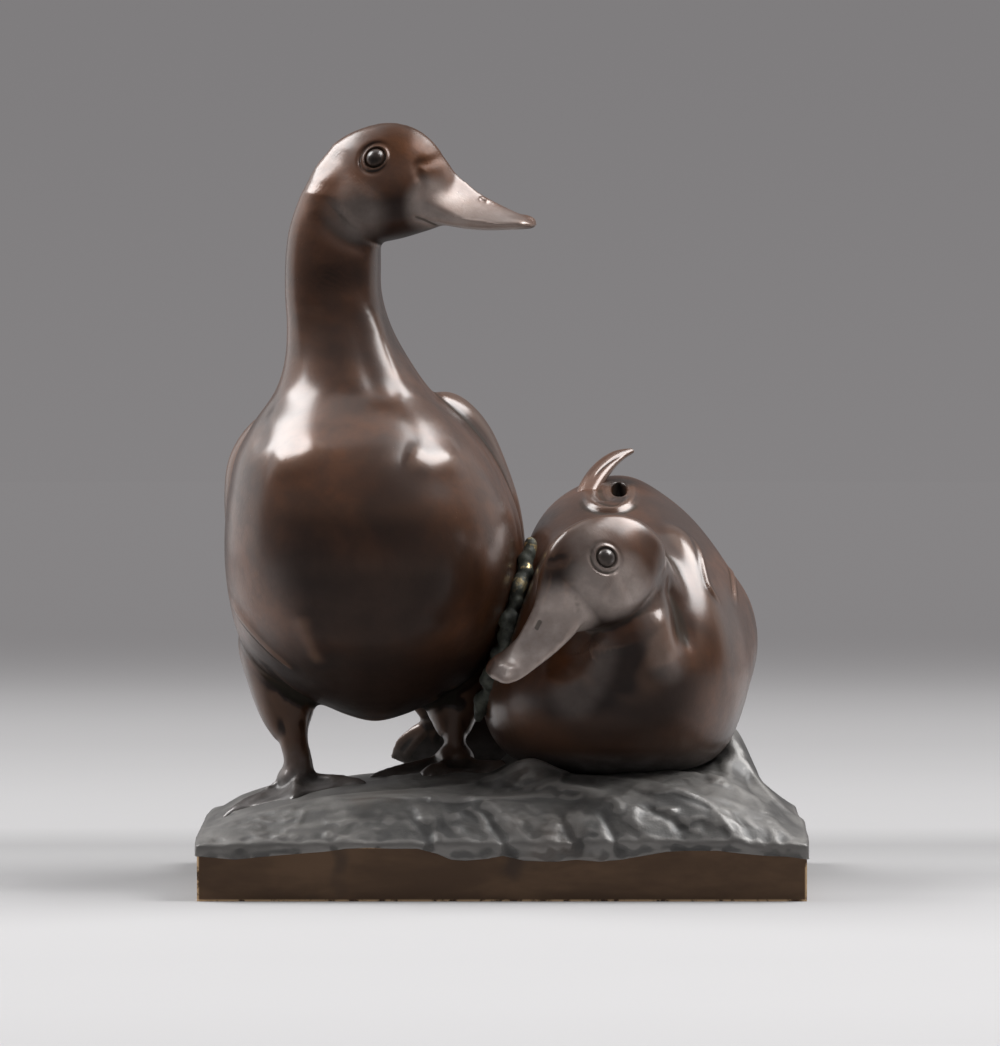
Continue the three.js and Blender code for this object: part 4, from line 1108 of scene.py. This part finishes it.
# Strokes of the tool: pixels of the photograph along the line, width, rise, and where the stroke is a step,
# the lap on its right
STANDING_BILL = [
    ([(446, 158), (431, 161), (419, 165), (419, 174), (422, 184), (416, 198), (407, 211)], 1.5, -0.5),
    ([(418, 211), (430, 217), (446, 221), (468, 224), (494, 226), (522, 225)], 1.5, 0.6),
    ([(412, 216), (426, 221), (440, 226)], 0.6, -0.4),
    ([(479, 198), (484, 200), (489, 202)], 0.8, 0.25),
    ([(480, 199), (486, 201)], 0.45, -0.3),
]
STANDING_FACE = [
    ([(366, 182), (352, 198), (338, 214)], 5.0, 0.6),
    ([(338, 144), (326, 160), (318, 180), (314, 194)], 5.0, -0.6),
]
STANDING_NECK = [
    ([(312, 210), (330, 232), (352, 244), (376, 248)], 2.2, -0.5),
    ([(330, 262), (334, 300), (338, 340), (346, 380)], 5.0, -0.5),
    ([(372, 300), (380, 335), (392, 370), (408, 398)], 3.4, 0.7),
    ([(352, 300), (358, 340), (370, 380), (388, 412)], 3.0, -0.4),
]
STANDING_BREAST = [
    ([(272, 400), (262, 425), (262, 455)], 3.2, -0.5),
    ([(268, 462), (300, 458), (330, 440)], 4.5, 0.7),
    ([(404, 452), (432, 462), (462, 458)], 4.5, 0.8),
    ([(228, 590), (238, 612), (255, 634), (276, 655), (296, 672)], 2.4, 0.9, 1.0),
    ([(300, 610), (308, 640), (322, 668)], 3.0, 0.3),
    ([(320, 712), (345, 722), (372, 726), (400, 724)], 2.6, 0.3),
    ([(262, 660), (285, 685), (306, 705)], 2.6, -0.5),
    ([(440, 690), (452, 700), (470, 704)], 2.0, -0.6),
]
STANDING_LEGS = [
    ([(300, 716), (304, 736), (303, 758)], 1.2, -0.35),
    ([(286, 716), (292, 736), (296, 760)], 0.9, 0.3),
    ([(296, 768), (292, 778), (284, 785)], 1.0, -0.4),
    ([(306, 772), (318, 778), (334, 781)], 1.0, -0.3),
    ([(284, 778), (262, 787), (240, 799)], 0.9, -0.4),
    ([(437, 718), (440, 742), (444, 770)], 1.1, -0.7),
    ([(426, 730), (414, 746), (400, 764)], 1.0, 0.4),
]


def standing_clay():
    """The standing duck: its forms melted into one skin, smoothed and tooled."""
    lumps = [
        loft(level_sections(TORSO, TAIL_SWING), 144, 9),
        limb(LEFT_WING, from_spine, around=72),
        limb(RIGHT_WING, from_spine, around=72),
        limb(TAIL, always(0.15, 1, 0.35), around=72),
        *(limb(rows, always(0, -1, 0)) for rows in (LEFT_THIGH, RIGHT_THIGH, LEFT_LEG, RIGHT_LEG)),
        *(foot(place) for place in FEET),
        *(ball(ANKLE_BALL, (x, y + 0.5, height_at(ground_height, x, y) + 2.4)) for x, y, turn in FEET),
        *head_lumps(STANDING_HEAD),
    ]
    clay = Clay(remeshed("standing", lumps, DUCK_GRAIN))
    clay.relax(3)
    clay.fillet(40)
    clay.relax(4)
    nape = to_world(NAPE, STANDING_HEAD)
    clay.relax(26, np.clip(2 * clay.near(nape, 23), 0, 1))
    clay.refine(clay.points[:, 2] > FINE_SKIN_Z)
    clay.relax(2)
    head_strokes(clay, STANDING_HEAD, STANDING_BILL + STANDING_FACE)
    clay.strokes(STANDING_NECK + STANDING_BREAST + STANDING_LEGS)
    clay.relax(2, clay.points[:, 2:] < 150)
    for place in eye_places(STANDING_HEAD):
        eye(clay, STANDING_HEAD, place)
    return clay


STANDING_DULL = [(4, -6, 15), (13, -5, 12)]  # crown and forehead, in the head's own frame
# where a highlight is painted on the standing duck's cheek
STANDING_CHEEK = (354, 214)  # pixel of the photograph


def make_standing_duck():
    """The standing duck, dull on its crown and forehead, worn bright along its bill, with painted highlights
    on its bill and cheek.
    """
    clay = standing_clay()
    crown, forehead = to_world(STANDING_DULL, STANDING_HEAD)
    along_bill = to_world([(x, -6, 0) for x in range(16, 38, 3)], STANDING_HEAD)
    cheek = clay.seen([STANDING_CHEEK])[0]
    dull = [(crown, 11, 1), (forehead, 9, 1)]
    # worn metal along the bill, partly as painted highlight, and a painted highlight on the cheek
    rubbed_and_sheen = [*((place, 9, 0.75) for place in along_bill), (cheek, 11, 0.3)]
    dark = eye_spots(clay, STANDING_HEAD)
    cast("standing_duck", clay, STANDING_NODES, BROWN, "brown_bronze", STANDING_FOOTING, dull, rubbed_and_sheen, dark)


def eye_spots(clay, matrix):
    """The dark patches round a head's eyes."""
    return [(place, 1.75 * EYE_BALL, 1) for place in clay.closest(eye_places(matrix))]


def head_strokes(clay, matrix, table):
    """Strokes on the seen side of a head, repeated on its other side."""
    drawn = [(both_sides(clay, matrix, clay.seen(pixels)), rest) for pixels, *rest in table]
    for lines, (width, rise, *lap) in drawn:
        clay.stroke(lines[0], width, rise, *lap)
        clay.stroke(lines[1], width, rise)


# Crouching duck

CROUCHING_NODES = ["crouching_body", "crouching_head", "crouching_tail"]
CROUCHING_FOOTING = (30, 37)
CROUCHING_X = 31  # middle of its back
TRUNK_GRAIN = 1.1
TRUNK_ROUNDS = 45  # how long the crouching duck's joined forms are smoothed
CROUCH = [
    # height, left edge, right edge, front, back
    (29, 14, 47, -18, 14), (32, 4, 55.5, -27, 26), (37, -2, 60.5, -34.5, 33), (46, -5.5, 64, -40, 38),
    (56, -5, 66.5, -41.5, 43), (66, 0, 66, -39, 46), (74, 3, 64, -34, 48), (82, 5, 61, -26.5, 48.5),
    (90, 7, 55.8, -16, 48), (97, 11, 49.8, -3, 46), (102, 16.5, 43.5, 9, 43), (105.3, 23, 38.5, 20, 40),
    (107.2, 29, 34.5, 28, 35),
]
# Limbs: x, y, z, half width, half depth
RIGHT_SHOULDER = [
    (44, -2, 94, 2.5, 2.5), (46.5, -9, 89, 6, 5), (48.5, -17, 79, 7, 7), (51, -22.5, 67, 7.5, 8),
    (53.5, -22, 56, 7, 7), (55, -15, 46, 3, 3),
]
LEFT_SHOULDER = [
    (18, -2, 93, 2.5, 2.5), (15.5, -9, 87, 6, 5), (13, -17, 77, 7, 7), (10, -22, 65, 7.5, 8),
    (7, -21, 55, 7, 7), (5.5, -15, 46, 3, 3),
]
HUMPS = [((15.5, 26, 22), (53, 12, 63)), ((15, 26, 22), (10, 14, 60))]  # radii and middle of each
CROUCH_NECK = [
    (28, -33, 89, 9, 9), (32, -29, 84, 12, 12), (33.5, -28.5, 76, 13.2, 13), (34, -30, 67, 13.6, 13.4),
    (34, -30.5, 58, 14.5, 12.6), (33.5, -28, 50, 12.5, 11), (33, -21, 42, 7, 6),
]
CROUCH_TAIL = [
    (29.5, 34, 91, 13, 8), (30, 42, 97, 12, 6), (31, 49, 102, 9.5, 4), (31.5, 54, 106, 5, 1.8),
]
CURL = [
    (21.5, 14, 97, 2.6, 2.4), (22.3, 18, 101, 3, 2.2), (24.6, 23, 105.6, 3.1, 1.9),
    (27.8, 28, 109.4, 2.8, 1.5), (31.4, 32, 112, 2, 1.1), (35.3, 34.8, 113.3, 0.8, 0.6),
]
CURL_CUP = ((6.4, 6, 3.2), (28.6, 8, 98.6))  # radii and middle
CURL_SLOT = (619, 488)  # pixel of the photograph
SLOT_SIZE = (2.1, 5.6, 5.5)  # half width, half height and depth
SLOT_FACES = (0, -0.78, 0.62)  # the way it opens
CROUCHING_FACE = [
    ([(545, 560), (553, 562), (561, 559), (570, 561)], 1.3, -0.35),
    ([(567, 565), (576, 572), (582, 584), (577, 598), (580, 608), (590, 617)], 2.0, -0.5),
    ([(562, 576), (566, 590), (566, 604), (577, 614)], 1.6, 0.35),
    ([(552, 570), (548, 590), (538, 614), (522, 642)], 1.2, 0.3),
    ([(588, 619), (574, 632), (556, 648), (530, 667)], 1.2, 0.4),
    ([(494, 663), (508, 668), (524, 670)], 1.2, 0.3),
    ([(541, 619), (538, 625), (535, 631)], 0.7, -0.35),
    ([(600, 590), (614, 596), (628, 588)], 5.0, 0.5),
]
CROUCHING_FOLDS = [
    ([(666, 572), (674, 588), (680, 608), (686, 634), (690, 664)], 3.0, -2.0, 5.0),
    ([(652, 610), (658, 628), (663, 648), (668, 670)], 4.5, 1.3),
    ([(592, 636), (597, 652), (590, 674), (574, 698)], 4.5, 1.6),
    ([(566, 640), (566, 660), (556, 682)], 4.0, -1.2),
    ([(620, 646), (622, 668), (612, 692)], 5.0, -0.6),
]
CROUCHING_BODY = [
    ([(688, 534), (698, 550), (704, 574), (710, 590), (722, 606)], 1.2, 0.8, 0.6),
    ([(728, 566), (733, 584), (735, 604)], 1.2, 0.7, 0.6),
    (
        [(583, 486), (586, 496), (592, 505), (604, 510), (618, 510), (629, 503), (633, 490), (630, 478)],
        1.3, 1.1,
    ),
    ([(598, 484), (602, 494), (610, 501)], 1.6, -1.2),
]


def away_from_back(place):
    """Outwards from the crouching duck's upright middle line."""
    return (place[0] - CROUCHING_X, place[1] * 0.8, 0)


def crouching_clay():
    """The crouching duck: a soft trunk with its head set in, folded, tooled, and pierced behind the curl."""
    trunk = [
        loft(level_sections(CROUCH), 96, 8),
        limb(RIGHT_SHOULDER, away_from_back),
        limb(LEFT_SHOULDER, away_from_back),
        limb(CROUCH_NECK, always(0, -1, 0.2), around=64),
        limb(CROUCH_TAIL, always(0, -0.6, 0.8)),
        *(ball(radii, place, 72, 48) for radii, place in HUMPS),
        ball(*CURL_CUP),
    ]
    soft = Clay(remeshed("crouching_trunk", trunk, TRUNK_GRAIN))
    soft.relax(TRUNK_ROUNDS)
    clay = Clay(remeshed("crouching", [soft.lump(), *head_lumps(CROUCHING_HEAD)], DUCK_GRAIN))
    clay.relax(3)
    clay.fillet(30)
    clay.relax(3)
    centre = CROUCHING_HEAD[:3, 3]
    bill_middle = to_world((22, 0, 4), CROUCHING_HEAD)
    slot = clay.seen([CURL_SLOT])[0]
    fine = [(centre, 22), (bill_middle, 27), (slot, 13)]
    clay.refine(np.any([clay.near(place, radius) > 0 for place, radius in fine], axis=0))
    clay.relax(2)
    clay.strokes(CROUCHING_FOLDS)
    away = np.clip(1.5 - 3 * clay.near(centre, 30) - 3 * clay.near(bill_middle, 24), 0, 1)
    clay.relax(22, away * (clay.points[:, 1] < 0))
    head_strokes(clay, CROUCHING_HEAD, CROUCHING_FACE)
    clay.strokes(CROUCHING_BODY)
    clay.press(slot, SLOT_SIZE, SLOT_FACES)
    clay.relax(2, clay.near(slot, 10) ** 0.5)
    for place in eye_places(CROUCHING_HEAD):
        eye(clay, CROUCHING_HEAD, place)
    return clay


# Painted highlights on the crouching duck's brow, cheek and neck folds, laid as worn metal
PAINTED_HIGHLIGHT_BANDS = [
    # radius and strength, and pixels of the photograph
    (8, 0.3, [(589, 540), (591, 550), (592, 560)]), (12, 0.75, [(604, 582), (614, 586), (622, 588)]),
    (8, 0.2, [(656, 612), (660, 624), (664, 636), (668, 648), (671, 660)]),
    (9, 0.16, [(587, 640), (592, 652), (588, 666), (581, 680), (572, 694)]),
]
CROUCHING_CROWN = (606, 522)
SLOT_SHADE = [(619, 487), (619, 475), (618, 499)]  # in the curl's slot, above it and below it


def make_crouching_duck():
    """The crouching duck, worn bright on its bill, with painted highlights on its bill, brow, cheek and neck
    folds, and painted shade in the curl's slot.
    """
    clay = crouching_clay()
    along_bill = to_world([(x, 5, 3) for x in range(18, 46, 3)], CROUCHING_HEAD)
    # worn metal along the bill, partly as painted highlight, then the painted highlights on brow, cheek and
    # neck folds
    rubbed_and_sheen = [(place, 11, 1) for place in along_bill]
    for radius, strength, pixels in PAINTED_HIGHLIGHT_BANDS:
        rubbed_and_sheen += [(place, radius, strength) for place in clay.seen(pixels)]
    crown, slot, above, below = clay.seen([CROUCHING_CROWN, *SLOT_SHADE])
    dull = [(crown, 8, 0.5), (slot, 13, 0.7)]
    # dark round the eyes, and painted shade in and round the curl's slot
    dark = [*eye_spots(clay, CROUCHING_HEAD), (slot, 6.5, 1), (above, 4.2, 0.9), (below, 4, 0.8)]
    marks = (CROUCHING_FOOTING, dull, rubbed_and_sheen, dark)
    cast("crouching_duck", clay, CROUCHING_NODES, BROWN, "brown_bronze", *marks)


# Curled feather and braze

CURL_GRAIN = 0.28
CURL_GROOVE = ([(592, 482), (600, 470), (612, 460), (626, 453)], 0.5, -0.35)


def make_curl():
    """The curled tail feather, a thin leaf with a groove down its middle."""
    clay = Clay(remeshed("curl", [limb(CURL, always(-0.35, -0.8, 0.45), 64, 12)], CURL_GRAIN))
    clay.relax(2)
    clay.strokes([CURL_GROOVE])
    cast("curl_casting", clay, ["curl_feather"], BROWN, "brown_bronze")


SEAM = [
    # x, y, z, half width, half depth
    (8, -8, 90, 1.6, 2), (5.5, -13.5, 82, 2, 2.6), (3, -17, 73, 2, 2.6), (0.6, -18.5, 64, 2, 2.6),
    (-3, -15, 54, 2.4, 2.6), (-6, -9, 45, 1.6, 2),
]
BEADS = 40
BRAZE_GRAIN = 0.35


def make_braze():
    """The crusty braze that joins the two ducks, run in as beads that melt into each other."""
    lumps = []
    for x, y, z, half, deep in along(SEAM, np.linspace(0, len(SEAM) - 1, BEADS)):
        shift = rng.normal(0, 0.55, 3)
        size = rng.uniform(0.7, 1.25)
        place = np.array([x, y + 1, z]) + shift
        lumps.append(ball((half * size, deep * size, 2.2 * size), place, 16, 10))
    clay = Clay(remeshed("braze", lumps, BRAZE_GRAIN))
    clay.relax(9)
    cast("braze_casting", clay, ["solder_seam"], BRAZE, "solder")


# Marks on the ground, as pixels of the photograph, width, rise and any lap

GROUND_MARKS = [
    (
        [
            (300, 799), (340, 798), (380, 797), (420, 798), (456, 802), (496, 799), (532, 797), (570, 799),
            (604, 801),
        ],
        1.4, 0.9, 0.7,
    ),
    ([(213, 822), (222, 812), (236, 806), (262, 803)], 1.2, 0.7),
    ([(208, 842), (250, 838), (300, 836), (350, 839)], 1.2, 0.4),
    ([(214, 832), (260, 826), (310, 822), (360, 826), (396, 832)], 1.1, -0.45),
    ([(232, 818), (280, 812), (330, 810), (372, 814)], 1.2, 0.4),
    ([(262, 826), (272, 830), (286, 829)], 1.2, -0.7),
    ([(300, 846), (330, 842), (362, 842)], 1.0, 0.35),
    ([(398, 806), (412, 818), (424, 834), (430, 850)], 1.3, -0.9, 0.8),
    ([(410, 800), (424, 812), (436, 828), (446, 846), (456, 860)], 2.2, 0.9),
    ([(432, 804), (446, 818), (462, 838), (476, 858)], 2.6, 0.9),
    ([(470, 806), (486, 816), (497, 832), (508, 850), (516, 860)], 1.1, -1.3, 0.8),
    ([(476, 804), (494, 812), (504, 826)], 2.2, 0.9),
    ([(506, 812), (518, 828), (532, 846), (546, 860)], 2.8, 0.9),
    ([(510, 806), (522, 820), (528, 836)], 1.0, -0.6),
    ([(552, 806), (562, 822), (572, 842), (582, 858)], 1.1, -1.1, 0.8),
    ([(570, 806), (584, 824), (596, 844), (604, 858)], 2.6, 0.8),
    ([(598, 808), (608, 826), (618, 846), (624, 856)], 1.1, -1.0, 0.8),
    ([(616, 802), (632, 818), (648, 838), (660, 852)], 2.4, 0.8),
    ([(612, 794), (644, 808), (676, 824), (696, 838)], 1.1, -0.8, 0.7),
    ([(640, 796), (672, 812), (702, 832)], 2.0, 0.6),
    ([(668, 794), (700, 804), (736, 820), (764, 834)], 1.0, -0.7, 0.7),
    ([(606, 796), (614, 800), (618, 808), (612, 814)], 0.9, 0.9),
    ([(548, 788), (560, 784), (574, 788), (586, 784)], 1.2, 0.7),
    ([(552, 796), (566, 792), (580, 796)], 0.8, -0.7),
    ([(520, 786), (536, 780), (552, 776)], 1.3, -0.6),
    ([(440, 788), (462, 780), (486, 778), (506, 782)], 1.5, 0.7),
    ([(420, 782), (446, 774), (480, 772), (512, 774)], 1.3, -0.7),
    ([(404, 792), (432, 790), (462, 794), (490, 792)], 1.1, -0.6),
    ([(392, 782), (420, 778), (444, 776)], 1.2, 0.5),
    ([(520, 770), (560, 768), (600, 774), (640, 778)], 1.6, -0.6),
    ([(570, 764), (620, 772), (664, 776), (700, 780)], 1.4, 0.5),
    ([(600, 786), (640, 790), (680, 792), (716, 800)], 1.4, 0.6),
    ([(700, 798), (716, 812), (728, 830), (738, 850)], 1.3, 1.2, 0.6),
    ([(712, 796), (730, 808), (742, 824), (752, 846)], 1.0, -0.9),
    ([(722, 806), (738, 824), (744, 850)], 1.1, 0.8),
    ([(694, 764), (708, 756), (720, 744), (729, 734)], 1.6, 0.9, 0.7),
    ([(704, 788), (712, 772), (722, 756), (730, 744)], 1.3, -1.0),
    ([(729, 735), (742, 752), (754, 776), (770, 796), (790, 816)], 1.2, 1.0, 0.7),
    ([(734, 756), (746, 780), (762, 800), (784, 826)], 1.3, -0.9),
    ([(746, 790), (762, 808), (780, 828), (796, 846)], 1.3, 0.7),
    ([(757, 774), (768, 788), (782, 796)], 1.0, -0.8), ([(716, 748), (724, 764), (732, 782)], 1.0, 0.7),
    ([(682, 778), (694, 790), (712, 802)], 1.2, -0.8),
]
MARK_WIDTH = 1.5  # how much wider and shallower those marks are cut
MARK_DEPTH = 0.5
CHISEL_AREAS = [
    # left, top, right and bottom in pixels of the photograph, direction in degrees, marks
    (206, 812, 400, 850, 4, 70), (410, 806, 620, 852, -40, 80), (620, 806, 790, 850, -28, 60),
    (380, 768, 560, 796, 6, 50), (560, 770, 730, 796, -10, 46), (700, 750, 770, 800, -55, 24),
]


def chisel(area):
    """Short, shallow marks of the modelling tool, scattered over a part of the ground."""
    left, top, right, bottom, degrees, count = area
    marks = []
    for _ in range(count):
        x, y = rng.uniform(left, right), rng.uniform(top, bottom)
        turn = math.radians(degrees + rng.normal(0, 24))
        half = rng.uniform(5, 16)
        bow = rng.normal(0, 2.5)
        step = np.array([math.cos(turn), -math.sin(turn)]) * half
        across = np.array([-step[1], step[0]]) / half * bow
        middle = np.array([x, y])
        rise = rng.choice([-1, 1]) * rng.uniform(0.08, 0.26)
        pixels = [middle - step, middle + across, middle + step]
        marks.append((pixels, rng.uniform(0.8, 1.5), rise, rng.uniform(0.6, 1.2)))
    return marks


def ground_lumps():
    """The ground as it is cast: its top, the lip that hangs over the plinth, the hollow that the plinth's
    opening shows, and under it the flat seats for the nuts and bolts and the bosses for the screws."""
    u = np.linspace(-1, 1, 281)[:, None] * np.ones((1, 201))
    v = np.ones((281, 1)) * np.linspace(-1, 1, 201)[None]
    lip_x = (CORNER_LIP + (GROUND_LIP - CORNER_LIP) * (1 - v**6)) * np.abs(u) ** 8
    lip_y = (CORNER_LIP + (GROUND_LIP - CORNER_LIP) * (1 - u**6)) * np.abs(v) ** 8
    x, y = u * (PLINTH_HALF[0] + lip_x), v * (PLINTH_HALF[1] + lip_y)
    opening = (np.abs(x) < PLINTH_HALF[0] - PLINTH_WALL) & (np.abs(y) < PLINTH_HALF[1] - PLINTH_WALL)
    ceiling = np.maximum(mound(x, y) - GROUND_SKIN, PLINTH_HEIGHT + 0.4)
    under = np.where(opening, ceiling, LIP_LEVEL - LIP_DEPTH)
    skin_over = sheet_faces(np.stack([x, y, ground_height(x, y)], -1), np.stack([x, y, under], -1))
    lumps = [skin_over]
    for px, py in SEATS:
        low = height_at(mound, px, py) - GROUND_SKIN - PAD_DEPTH
        lumps.append(post(PAD_RADIUS, px, py, low, low + GROUND_SKIN))
    for px, py in BOSSES:
        top = height_at(mound, px, py) - GROUND_SKIN / 2
        lumps.append(post(BOSS_RADIUS, px, py, SEAT_LEVEL, top))
    return lumps


def post(radius, x, y, low, high):
    """An upright round bar."""
    half_axes = (radius, 0, 0), (0, radius, 0), (0, -radius, 0)
    return loft([section((x, y, z), *half_axes, 2) for z in (low, high)], 40, 1)


def hem_level(points):
    """Height of the wavy lower edge of the ground, all round the plinth."""
    x, y = points[:, 0], points[:, 1]
    front = np.interp(x, *np.transpose(HEM))
    wave = LIP_LEVEL + HEM_WAVE * np.cos(2 * np.pi * (x + y + 34) / 87) + HEM_RIPPLE * np.cos((x + y) / 3.7)
    share = np.clip((-y - PLINTH_HALF[1] + 4) / 3, 0, 1)
    return np.minimum(wave * (1 - share) + front * share, PLINTH_HEIGHT - 0.3)


def make_ground():
    """The ground, tooled, with its hem cut wavy and its underside cut flat where it lies on the plinth."""
    clay = Clay(remeshed("ground", ground_lumps(), GROUND_GRAIN))
    clay.relax(3)
    clay.strokes([
        (pixels, width * MARK_WIDTH, rise * MARK_DEPTH, *lap) for pixels, width, rise, *lap in GROUND_MARKS
    ])
    clay.strokes([mark for area in CHISEL_AREAS for mark in chisel(area)])
    clay.relax(2)
    z = clay.points[:, 2]
    over_plinth = np.all(np.abs(clay.points[:, :2]) < np.array(PLINTH_HALF) + 0.25, axis=1)
    seat = over_plinth & (z < SEAT_LEVEL)
    clay.points[:, 2] = np.where(seat, SEAT_LEVEL, np.maximum(z, hem_level(clay.points)))
    clay.merge(seat, 0.3)
    cast("ground_casting", clay, ["ground"], GREY, "grey_bronze")


PLINTH_BEVEL = 0.4


def make_plinth():
    """The plinth with its edges broken."""
    thing = add_object("plinth_copy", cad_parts["plinth"].data.copy())
    edge = thing.modifiers.new("edge", "BEVEL")
    edge.width = PLINTH_BEVEL * MM
    edge.segments = 3
    edge.limit_method = "ANGLE"
    show("plinth_casting", applied(thing), ["plinth"], PLINTH_BROWN)


def finish_fixings():
    """Brass for the castings' own fixings, which are shown as they are."""
    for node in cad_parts.values():
        if not node.hide_render:
            node.data.materials.clear()
            node.data.materials.append(BRASS)


make_standing_duck()
make_crouching_duck()
make_curl()
make_braze()
make_ground()
make_plinth()
finish_fixings()


# Studio, in metres

BACKDROP_LOW = colour(0.238, 0.229, 0.233)
BACKDROP_HIGH = colour(0.212, 0.204, 0.208)
ROOM = (colour(0.1, 0.098, 0.1), colour(0.2, 0.2, 0.21))
FILL_COLOUR = colour(0.9, 0.9, 0.92)
FILL = 0.27
FIBRES = colour(0.7, 0.7, 0.7)
FLOOR_RADIUS = 3.0
CLEAR_SIDE = 0.6  # pale paper to the left and right of the group, and in front of it
CLEAR_FRONT = 1.0
FLOOR_TONES_AND_PAINTED_SHADOW = [
    # how far behind the middle of the group, and how pale the paper is there; the dip just behind the group
    # is a painted shadow band
    (-0.4, 0.62), (-0.3, 0.6), (-0.2, 0.56), (-0.1, 0.54), (-0.035, 0.54), (0.02, 0.41), (0.06, 0.39),
    (0.11, 0.345), (0.17, 0.45), (0.3, 0.475), (0.4, 0.49), (0.5, 0.52), (0.62, 0.6), (0.75, 0.66),
    (1.0, 0.62),
]


def floor_paper(graph):
    """Pale paper with a painted shadow band just behind the group, fading into the grey backdrop behind the
    group, and far beside and before it.
    """
    x, y = graph.axes(graph.place(), "XY")
    beside = x.larger(0 - x) - CLEAR_SIDE
    depth = y.larger(beside).larger(0 - y - CLEAR_FRONT)
    first, last = FLOOR_TONES_AND_PAINTED_SHADOW[0][0], FLOOR_TONES_AND_PAINTED_SHADOW[-1][0]
    stops = [((far - first) / (last - first), (tone, tone * 0.985, tone * 0.99)) for far, tone in FLOOR_TONES_AND_PAINTED_SHADOW]
    # paper tones with a painted shadow band just behind the group
    paper_and_painted_shadow = graph.node("ShaderNodeValToRGB", {"stops": stops}, {0: (depth - first) * (1 / (last - first))})
    pale = graph.mix(graph.noise(30, 4, 0.6) * 0.04, paper_and_painted_shadow, FIBRES)
    lit = graph.node("ShaderNodeBsdfDiffuse", {}, {"Color": pale})
    dim = graph.node("ShaderNodeEmission", {}, {"Color": BACKDROP_LOW, "Strength": 1.0})
    return graph.node("ShaderNodeMixShader", {}, {0: depth.step(-0.05, 1.2), 1: lit, 2: dim})


def make_floor():
    mesh = bpy.data.meshes.new("floor")
    shape = bmesh.new()
    bmesh.ops.create_circle(shape, cap_ends=True, segments=96, radius=FLOOR_RADIUS)
    shape.to_mesh(mesh)
    shape.free()
    mesh.materials.append(material("floor_paper", floor_paper))
    add_object("floor", mesh)


def make_world():
    """The grey backdrop and the dim room that the bronze mirrors, and an even fill for everything else."""
    world = bpy.data.worlds.new("studio")
    bpy.context.scene.world = world
    world.use_nodes = True
    graph = Graph(world.node_tree)
    direction = graph.node("ShaderNodeTexCoord", output="Generated")
    y, z = graph.axes(direction, "YZ")
    backdrop = graph.mix(z.step(-0.06, 0.04), BACKDROP_LOW, BACKDROP_HIGH)
    room = graph.mix(z.step(0.05, 0.8), *ROOM)
    kinds = ("Camera", "Glossy", "Transmission")
    camera, glossy, through = (graph.node("ShaderNodeLightPath", output=f"Is {kind} Ray") for kind in kinds)
    shown = graph.mix(y.step(-0.1, 0.7).larger(camera), room, backdrop)
    seen = graph.node("ShaderNodeBackground", {}, {"Color": shown, "Strength": 1.0})
    fill = graph.node("ShaderNodeBackground", {}, {"Color": FILL_COLOUR, "Strength": FILL})
    both = graph.node("ShaderNodeMixShader", {}, {0: camera + glossy + through, 1: fill, 2: seen})
    graph.node("ShaderNodeOutputWorld", {}, {"Surface": both})


LIGHTS = [
    # place, target, size and watts
    ("left_softbox", (-0.72, 0.24, 0.86), (-0.03, 0, 0.1), (0.62, 0.56), 9),
    ("left_panel", (-0.95, 0.68, 0.35), (-0.03, 0, 0.1), (1.1, 0.8), 1.6),
    ("right_softbox", (0.64, 0.1, 0.98), (0, 0, 0.1), (0.9, 0.56), 13),
    ("right_panel", (0.95, 0.6, 0.35), (0, 0, 0.1), (0.9, 0.7), 0.6),
    ("top_softbox", (-0.1, 0.3, 1.4), (0, 0, 0.05), (0.9, 0.9), 1.6),
]


def make_light(name, place, target, size, power):
    data = bpy.data.lights.new(name, "AREA")
    data.shape = "RECTANGLE"
    data.size, data.size_y = size
    data.energy = power
    light = bpy.data.objects.new(name, data)
    light.location = place
    light.rotation_euler = (Vector(target) - Vector(place)).to_track_quat("-Z", "Y").to_euler()
    light.visible_camera = False
    bpy.context.scene.collection.objects.link(light)


make_floor()
make_world()
for light in LIGHTS:
    make_light(*light)
bpy.context.scene.view_settings.view_transform = "Standard"
